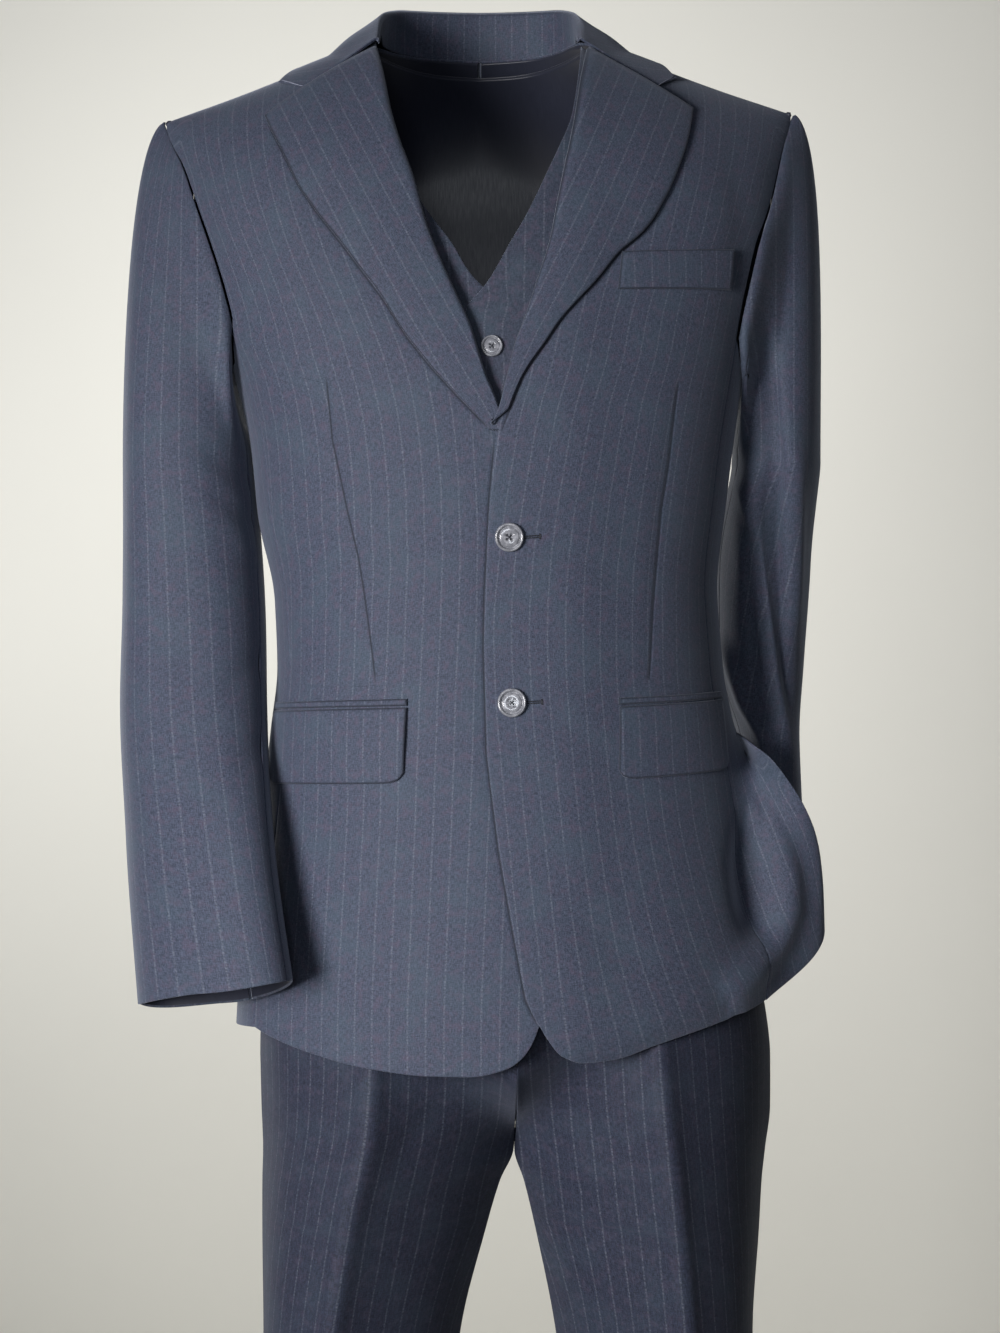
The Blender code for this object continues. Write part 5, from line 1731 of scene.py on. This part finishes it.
def waistcoat_back():
    """The back, in one piece from side seam to side seam; u runs from the right to the left."""
    neck_low = 0.010
    neck_share = 0.40

    def half_plan(side):
        middle = side * math.pi
        neck_x = side * WAISTCOAT_NECK_X + BODY_MIDDLE
        neck_angle = middle - angle_at(neck_x, 0.0)
        front = waistcoat_armhole(side)
        low = side * WAISTCOAT_SIDE

        def armhole_line(share):
            angle, z = front.at(share)
            return Vector((mix(middle - angle, low, share ** 3), z))

        def along_top(share):
            if share < neck_share:
                part = share / neck_share
                high = shoulder_height(neck_x)
                return Vector((mix(middle, neck_angle, part), mix(neck_low, high, part * part)))
            part = (share - neck_share) / (1 - neck_share)
            angle = mix(neck_angle, armhole_line(0)[0], part)
            return Vector((angle, shoulder_height(form_point(angle, 0.0).x)))

        side_line = Line((low, WAISTCOAT_UNDERARM), (low, WAISTCOAT_HEM))
        outer = Chain((0.5, Rule(armhole_line)), (0.5, side_line))
        inner = Line((middle, neck_low), (middle, WAISTCOAT_HEM), crowd=1.3)
        hem = Line((middle, WAISTCOAT_HEM), (low, WAISTCOAT_HEM))
        return patch(inner, outer, Rule(along_top), hem)

    plans = {side: half_plan(side) for side in (RIGHT, LEFT)}

    def place(u, v):
        side = RIGHT if u < 0.5 else LEFT
        return on_waistcoat(*plans[side](abs(2 * u - 1), v))

    return sheet("waistcoat_back", place, WAISTCOAT_WALL, flip=True)

# %% [markdown]
# ## Trousers
#
# A leg is pressed flat and sharp along its crease, so its section is a rounded diamond. Above the
# crotch it turns into the body form. A leg could be swept along a line, but front and back are cut
# apart on the real one, so each is its own sheet.

# %% Trousers
TROUSER_IN = Table(
    "z inside",
    (-0.520, 0.0190),
    (-0.556, 0.0190),
    (-0.605, 0.0195),
    (-0.650, 0.0210),
    (-0.700, 0.0185),
    (-0.740, 0.0165),
    (-0.816, 0.0165),
)
LEG = Table(
    "z middle inner crease outer front back",
    (-0.740, 0.0300, 0.0003, 0.1040, 0.1900, 0.1060, 0.1080),
    (-0.780, 0.0300, 0.0003, 0.1060, 0.1895, 0.1090, 0.1110),
    (-0.812, 0.0285, 0.0010, 0.1110, 0.1870, 0.1090, 0.1130),
    (-0.835, 0.0270, 0.0095, 0.1150, 0.1860, 0.1070, 0.1120),
    (-0.870, 0.0260, 0.0190, 0.1200, 0.1850, 0.1045, 0.1100),
    (-0.951, 0.0240, 0.0370, 0.1290, 0.1820, 0.0960, 0.1040),
    (-1.170, 0.0245, 0.0600, 0.1350, 0.1840, 0.0850, 0.0880),
    (-1.575, 0.0250, 0.0900, 0.1400, 0.1900, 0.0750, 0.0750),
)
CREASE_ANGLE = math.radians(31)
LEG_BOW = 0.012
HIP_LINE = (-0.735, -0.620)


def trouser_point(side, behind, u, z):
    """A point of a leg's front or back: u is 0 at the inside, 0.5 on the crease, 1 at the side."""
    leg = LEG.at(z)
    away = 1 if behind else -1
    depth = leg.back if behind else leg.front
    if u < 0.5:
        share = 2 * u
        angle = CREASE_ANGLE * 2 * u
        bow = LEG_BOW * math.sin(math.pi * share)
        across = mix(leg.inner, leg.crease, share) - bow
        deep = depth * share + 0.5 * bow
    else:
        share = 2 * u - 1
        angle = mix(CREASE_ANGLE, math.pi / 2, share)
        bow = LEG_BOW * math.sin(math.pi * share)
        across = mix(leg.crease, leg.outer, share) + bow
        deep = depth * (1 - share) + 0.8 * bow
    across = max(across, leg.inner)
    if behind:
        angle = math.pi - angle
    hip = on_form(side * angle, z, -TROUSER_IN.at(z).inside)
    weight = ease(mix(*HIP_LINE, min(2 * u, 1.0)), CROTCH, z)
    hip_across = max(side * (hip.x - leg.middle), leg.inner)
    x = leg.middle + side * mix(hip_across, across, weight)
    return Vector((x, mix(hip.y, away * deep, weight), z))


def trouser_height(v):
    """The height at a share of the leg's length, with more of its rows about the hip."""
    rows = ((0.0, WAIST_SEAM), (0.22, -0.720), (0.60, -0.860), (1.0, TROUSER_HEM))
    for (low, high_z), (high, low_z) in zip(rows, rows[1:]):
        if v <= high + 1e-9:
            return mix(high_z, low_z, (v - low) / (high - low))
    return TROUSER_HEM


def trouser_panel(side, behind):
    def place(u, v):
        return trouser_point(side, behind, u, trouser_height(v))

    name = "trouser_%s_%s" % ("back" if behind else "front", SIDE_NAME[side])
    return sheet(name, place, TROUSER_WALL, flip=(side == RIGHT) != behind)


def waistband():
    opening = math.radians(0.15)

    def place(u, v):
        z = mix(WAIST_TOP, WAIST_SEAM + GAP, v)
        point = on_form(mix(opening, 2 * math.pi - opening, u), z, -TROUSER_IN.at(z).inside)
        point.z = z
        return point

    return sheet("trouser_waistband", place, TROUSER_WALL)

# %% [markdown]
# ## Cutting every piece
#
# All pieces of cloth, both sides, in the order in which a tailor would sew them up.

# %% All the cloth
for side in (RIGHT, LEFT):
    jacket_front(side)
    jacket_side(side)
    jacket_back(side)
    jacket_lapel(side)
    jacket_sleeve(side)
    waistcoat_front(side)
    for behind in (False, True):
        trouser_panel(side, behind)
jacket_collar()
jacket_pockets()
waistcoat_back()
waistband()

# %% [markdown]
# ## Buttons
#
# A suit button is turned from a dark polished slab: a rounded rim stands over a shallow dish with
# four holes. A profile spun round its axis gives the turned shape, as a lathe does. Two crossing
# stitches of thread hold it.

# %% Turned buttons
def horn():
    finish = Finish("polished horn")
    place = finish.add("ShaderNodeTexCoord", output="Object")
    streak = finish.noise(place, 260.0, 3.0, 0.6)
    # The colours are lighter than dark horn: painted reflection of the lamps in its polish, over
    # the streaks of its grain.
    colour = finish.blend(finish.rise(streak, 0.4, 0.75), (0.170, 0.175, 0.200, 1),
                          (0.330, 0.335, 0.370, 1))
    return finish.feed(Base_Color=colour, Roughness=0.20 + streak * 0.12, Coat_Weight=1.0,
                       Coat_Roughness=0.06)


def spun_thread(name, scale, dark, light):
    finish = Finish(name)
    place = finish.add("ShaderNodeTexCoord", output="Object")
    colour = finish.blend(finish.noise(place, scale, 1.0), dark, light)
    return finish.feed(Base_Color=colour, Roughness=0.7)


finishes["buttons"] = horn()
finishes["thread"] = spun_thread("sewing thread", 1800.0, (0.010, 0.011, 0.016, 1),
                                 (0.030, 0.034, 0.050, 1))
finishes["pale"] = spun_thread("pale thread", 1500.0, (0.18, 0.19, 0.26, 1),
                               (0.42, 0.44, 0.55, 1))
print("finishes:", len(finishes))


def add_object(name, bm, material):
    mesh = bpy.data.meshes.new(name)
    bm.to_mesh(mesh)
    bm.free()
    mesh.materials.append(material)
    piece = bpy.data.objects.new(name, mesh)
    bpy.context.scene.collection.objects.link(piece)
    return piece


def add_piece(name, bm, finish):
    piece = add_object(name, bm, finishes[finish])
    piece.data.shade_smooth()
    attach(piece, "root")
    return piece


def lathe(profile, steps):
    """A closed turned body from a half profile of radius and height."""
    bm = bmesh.new()
    points = [bm.verts.new((across, 0.0, up)) for across, up in profile]
    edges = [bm.edges.new(pair) for pair in zip(points, points[1:])]
    bmesh.ops.spin(bm, geom=points + edges, cent=(0, 0, 0), axis=(0, 0, 1), dvec=(0, 0, 0),
                   angle=2 * math.pi, steps=steps, use_merge=True, use_duplicate=False)
    bmesh.ops.remove_doubles(bm, verts=bm.verts, dist=1e-6)
    bmesh.ops.recalc_face_normals(bm, faces=bm.faces)
    return bm


def facing(angle, z, lift):
    """The turn and place of a button that lies on the form."""
    centre = on_form(angle, z, lift)
    out = (on_form(angle, z, lift + 0.01) - centre).normalized()
    side = (Vector((1, 0, 0)) - out * out.x).normalized()
    turn = Matrix((side, out.cross(side), out)).transposed()
    return Matrix.Translation(centre) @ turn.to_4x4()


def stitch(bm, start, end, radius, rise=0.0, turn=None, sides=6, rings=8):
    """A short arched thread, added to a mesh: rings of points joined by a skin."""
    start, end = Vector(start), Vector(end)
    way = (end - start).normalized()
    up = Vector((0, 0, 1)) if abs(way.z) < 0.9 else Vector((0, 1, 0))
    square = way.cross(up).normalized()
    up = square.cross(way)
    made = []
    for ring in range(rings + 1):
        share = ring / rings
        middle = start.lerp(end, share) + up * rise * math.sin(math.pi * share)
        thick = radius * max(math.sin(math.pi * (0.04 + 0.92 * share)), 0.12) ** 0.4
        loop = []
        for side in range(sides):
            angle = 2 * math.pi * side / sides
            point = middle + (square * math.cos(angle) + up * math.sin(angle)) * thick
            loop.append(bm.verts.new(turn @ point if turn else point))
        made.append(loop)
    for low, high in zip(made, made[1:]):
        for side in range(sides):
            after = (side + 1) % sides
            bm.faces.new((low[side], low[after], high[after], high[side]))
    bm.faces.new(reversed(made[0]))
    bm.faces.new(made[-1])

# %% [markdown]
# The holes could be left out of the grid of a button, but a Boolean is a drill: four thin cylinders
# are taken away, and the result is kept as the button's own mesh.

# %% Buttons with four holes
def button_profile(radius, height):
    """From the middle of the dish over the rim and round to the back."""
    rim = radius * 0.80
    dish = [(0.0, height * 0.62), (rim * 0.50, height * 0.68), (rim * 0.74, height * 0.74),
            (rim * 0.82, height * 0.66), (rim * 0.88, height * 0.34), (rim * 0.94, height * 0.34)]
    edge = [(rim * 1.00, height * 0.80), (rim * 1.08, height), (rim * 1.17, height * 0.96),
            (radius * 0.99, height * 0.70), (radius, height * 0.5)]
    back = [(radius * 0.97, height * 0.28), (radius * 0.86, height * 0.04), (0.0, 0.0)]
    return dish + edge + back


def drill_holes(piece, drills):
    """Take the drills out of a piece and keep what is left as its mesh."""
    mesh = bpy.data.meshes.new("drills")
    drills.to_mesh(mesh)
    drills.free()
    drill = bpy.data.objects.new("drills", mesh)
    bpy.context.scene.collection.objects.link(drill)
    cut = piece.modifiers.new("holes", "BOOLEAN")
    cut.operation = "DIFFERENCE"
    cut.solver = "EXACT"
    cut.object = drill
    shape = piece.evaluated_get(bpy.context.evaluated_depsgraph_get())
    finished = bpy.data.meshes.new_from_object(shape)
    piece.modifiers.clear()
    piece.data = finished
    bpy.data.objects.remove(drill)


def button(name, width, place):
    """A button with a rounded rim and four holes, cut and placed in its own mesh."""
    height = width * 0.17
    hole, apart = width * 0.045, width * 0.095
    frame_of = facing(*place)
    body = lathe(button_profile(width / 2, height), 48)
    bmesh.ops.transform(body, matrix=frame_of, verts=body.verts)
    piece = add_piece(name + "_turned", body, "buttons")
    drills = bmesh.new()
    for step in range(4):
        turn = math.pi / 4 + math.pi / 2 * step
        spot = Matrix.Translation((apart * math.cos(turn), apart * math.sin(turn), height))
        bmesh.ops.create_cone(drills, cap_ends=True, segments=16, radius1=hole, radius2=hole,
                              depth=height * 1.7, matrix=spot)
    bmesh.ops.transform(drills, matrix=frame_of, verts=drills.verts)
    drill_holes(piece, drills)
    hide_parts(name)
    thread = bmesh.new()
    for turn in (math.pi / 4, -math.pi / 4):
        stitch(thread, (-apart * 1.1, 0, height * 0.62), (apart * 1.1, 0, height * 0.62),
               width * 0.022, rise=height * 0.16, turn=Matrix.Rotation(turn, 4, "Z"))
    bmesh.ops.transform(thread, matrix=frame_of, verts=thread.verts)
    add_piece(name + "_thread", thread, "thread")
    return piece


JACKET_BUTTONS = ((0.0243, -0.3600), (0.0262, -0.4770))
for number, (x, z) in enumerate(JACKET_BUTTONS, 1):
    button("jacket_button_%d" % number, JACKET_BUTTON,
           (*seen(x, z), LAP_LIFT + JACKET_WALL + BUTTON_CLEAR))

WAISTCOAT_BUTTONS = 5
BUTTON_X, TOP_BUTTON, BUTTONS_APART = 0.0123, -0.2247, 0.078
for number in range(WAISTCOAT_BUTTONS):
    z = TOP_BUTTON - BUTTONS_APART * number
    lift = WAISTCOAT_LAP + BUTTON_CLEAR - WAISTCOAT_IN.at(z).inside
    button("waistcoat_button_%d" % (number + 1), WAISTCOAT_BUTTON, (*seen(BUTTON_X, z), lift))
print("buttons:", len(JACKET_BUTTONS) + WAISTCOAT_BUTTONS)

# %% [markdown]
# ## Buttonholes
#
# On the left front, beside each button, the end of its buttonhole shows: a dark slit between two
# rows of purl stitches, closed by a bar. Single threads laid side by side give the corded edge that
# the real one has; a groove painted on would not catch the light.

# %% Corded buttonholes
def buttonhole(name, x, z, lift, length=0.0150, slope=0.06):
    """A worked buttonhole that runs from x towards the side."""
    thread = bmesh.new()
    start = on_form(*seen(x, z), lift)
    end = on_form(*seen(x + length, z + slope * length), lift)
    away = (on_form(*seen(x + length / 2, z), lift + 0.01)
            - on_form(*seen(x + length / 2, z), lift)).normalized()
    way = (end - start).normalized()
    square = away.cross(way)
    slit, reach, thick = 0.00018, 0.0012, 0.00026
    count, bars, bar_apart, bar_reach = 30, 4, 0.00035, 1.7
    for number in range(count):
        middle = start.lerp(end, number / (count - 1))
        for row in (-1, 1):
            near, far = square * row * slit, square * row * reach
            stitch(thread, middle + near, middle + far, thick, sides=5, rings=4)
    for step in range(bars):
        middle = end + way * (step * bar_apart)
        half = square * reach * bar_reach
        stitch(thread, middle - half, middle + half, thick, sides=5, rings=6)
    bmesh.ops.recalc_face_normals(thread, faces=thread.faces)
    return add_piece(name, thread, "thread")


ON_FRONT = LAP_LIFT + JACKET_WALL + 0.0002
buttonhole("buttonhole_upper", 0.0300, -0.3603, ON_FRONT)
buttonhole("buttonhole_lower", 0.0315, -0.4772, ON_FRONT)
print("buttonholes:", 2)

# %% [markdown]
# A short light line shows beside each notch. One thin arched stitch of pale thread makes it.

# %% Threads at the notches
ON_COLLAR = LEAF_LIFT + JACKET_WALL + 0.0002
for side in (RIGHT, LEFT):
    (tip_x, tip_z), (notch_x, notch_z) = COLLAR_TIP[side], GORGE[side][1]
    bar = bmesh.new()
    ends = [on_form(*seen(x, z + 0.0012), ON_COLLAR)
            for x, z in ((notch_x + side * 0.001, notch_z), (tip_x - side * 0.002, tip_z))]
    stitch(bar, *ends, 0.00035)
    bmesh.ops.recalc_face_normals(bar, faces=bar.faces)
    add_piece("notch_thread_" + SIDE_NAME[side], bar, "pale")
print("notch threads:", 2)

# %% [markdown]
# ## Floor, light and camera
#
# A pale wall and floor stand behind and below, clear from their far sides so that the suit can be
# looked at from all round. A closed room would hide it from behind.

# %% Stage
def plain(name, colour, roughness):
    finish = Finish(name)
    place = finish.add("ShaderNodeTexCoord", output="Object")
    grain = finish.noise(place, 3.0, 4.0)
    shade = finish.blend(grain * 0.5, colour, tuple(0.94 * part for part in colour[:3]) + (1,))
    behind = finish.add("ShaderNodeNewGeometry", output="Backfacing")
    return finish.feed(Base_Color=shade, Roughness=roughness, Alpha=1 - behind)


STAGE_TONE = (0.70, 0.69, 0.64, 1)
UPRIGHT = Matrix.Translation((0, 2.45, 2.0)) @ Matrix.Rotation(math.pi / 2, 4, "X")
for name, matrix in (("floor", Matrix.Translation((0, 0, TROUSER_HEM - 0.004))),
                     ("backdrop", UPRIGHT)):
    bm = bmesh.new()
    bmesh.ops.create_grid(bm, x_segments=1, y_segments=1, size=6.0, matrix=matrix)
    add_object(name, bm, plain(name + " paint", STAGE_TONE, 0.9))


print("stage:", 2)

# %% [markdown]
# The camera stands square on, level with the waist. Its lens follows from how many millimetres of
# the suit one row of the render shows. A guessed lens would have to be tried again and again.

# %% Camera
PIXEL, RENDER_ROWS = 0.00075, 1333
SENSOR, CAMERA_AWAY = 36.0, 2.0
camera = bpy.data.cameras.new("camera")
camera.sensor_width = SENSOR
camera.lens = SENSOR * CAMERA_AWAY / (RENDER_ROWS * PIXEL)
eye = bpy.data.objects.new("camera", camera)
eye.location = (0.018, -CAMERA_AWAY, -0.451)
eye.rotation_euler = (math.pi / 2, 0, 0)
bpy.context.scene.collection.objects.link(eye)
bpy.context.scene.camera = eye
print("lens: %.1f mm" % camera.lens)

# %% [markdown]
# One soft lamp to the left and in front models the folds. A second one in front spreads wider and
# lifts their shadows, a third washes the wall, a fourth stands behind for a look from there, and
# the pale world fills in. A single lamp would leave the dark cloth without any shape.

# %% Lamps
Lamp = namedtuple("Lamp", "name place aim size power spread colour")
for lamp in (
    Lamp("key", (-1.40, -2.15, -0.45), (0.0, 0.0, -0.55), 0.9, 10.8, 62, (1.0, 0.985, 0.975)),
    Lamp("front", (-0.1, -3.0, -0.1), (0.1, 0, -0.45), 0.6, 11, 180, (0.88, 0.93, 1.0)),
    Lamp("wall", (-0.35, 0.75, 0.15), (-0.15, 2.6, 0.05), 1.3, 33, 180, (1.0, 1.0, 1.0)),
    Lamp("back", (-1.70, 2.10, -0.40), (0.0, 0.0, -0.60), 0.8, 14, 180, (1.0, 1.0, 1.0)),
):
    light = bpy.data.lights.new(lamp.name, "AREA")
    light.energy, light.size, light.color = lamp.power, lamp.size, lamp.colour
    light.spread = math.radians(lamp.spread)
    stand = bpy.data.objects.new(lamp.name, light)
    stand.location = lamp.place
    aim = Vector(lamp.aim) - Vector(lamp.place)
    stand.rotation_euler = aim.to_track_quat("-Z", "Y").to_euler()
    bpy.context.scene.collection.objects.link(stand)

world = bpy.data.worlds.new("pale room")
world.use_nodes = True
world.node_tree.nodes["Background"].inputs["Color"].default_value = (0.93, 0.95, 1.0, 1)
world.node_tree.nodes["Background"].inputs["Strength"].default_value = 0.032
bpy.context.scene.world = world
bpy.context.scene.view_settings.view_transform = "Standard"
print("lamps:", len(bpy.data.lights))
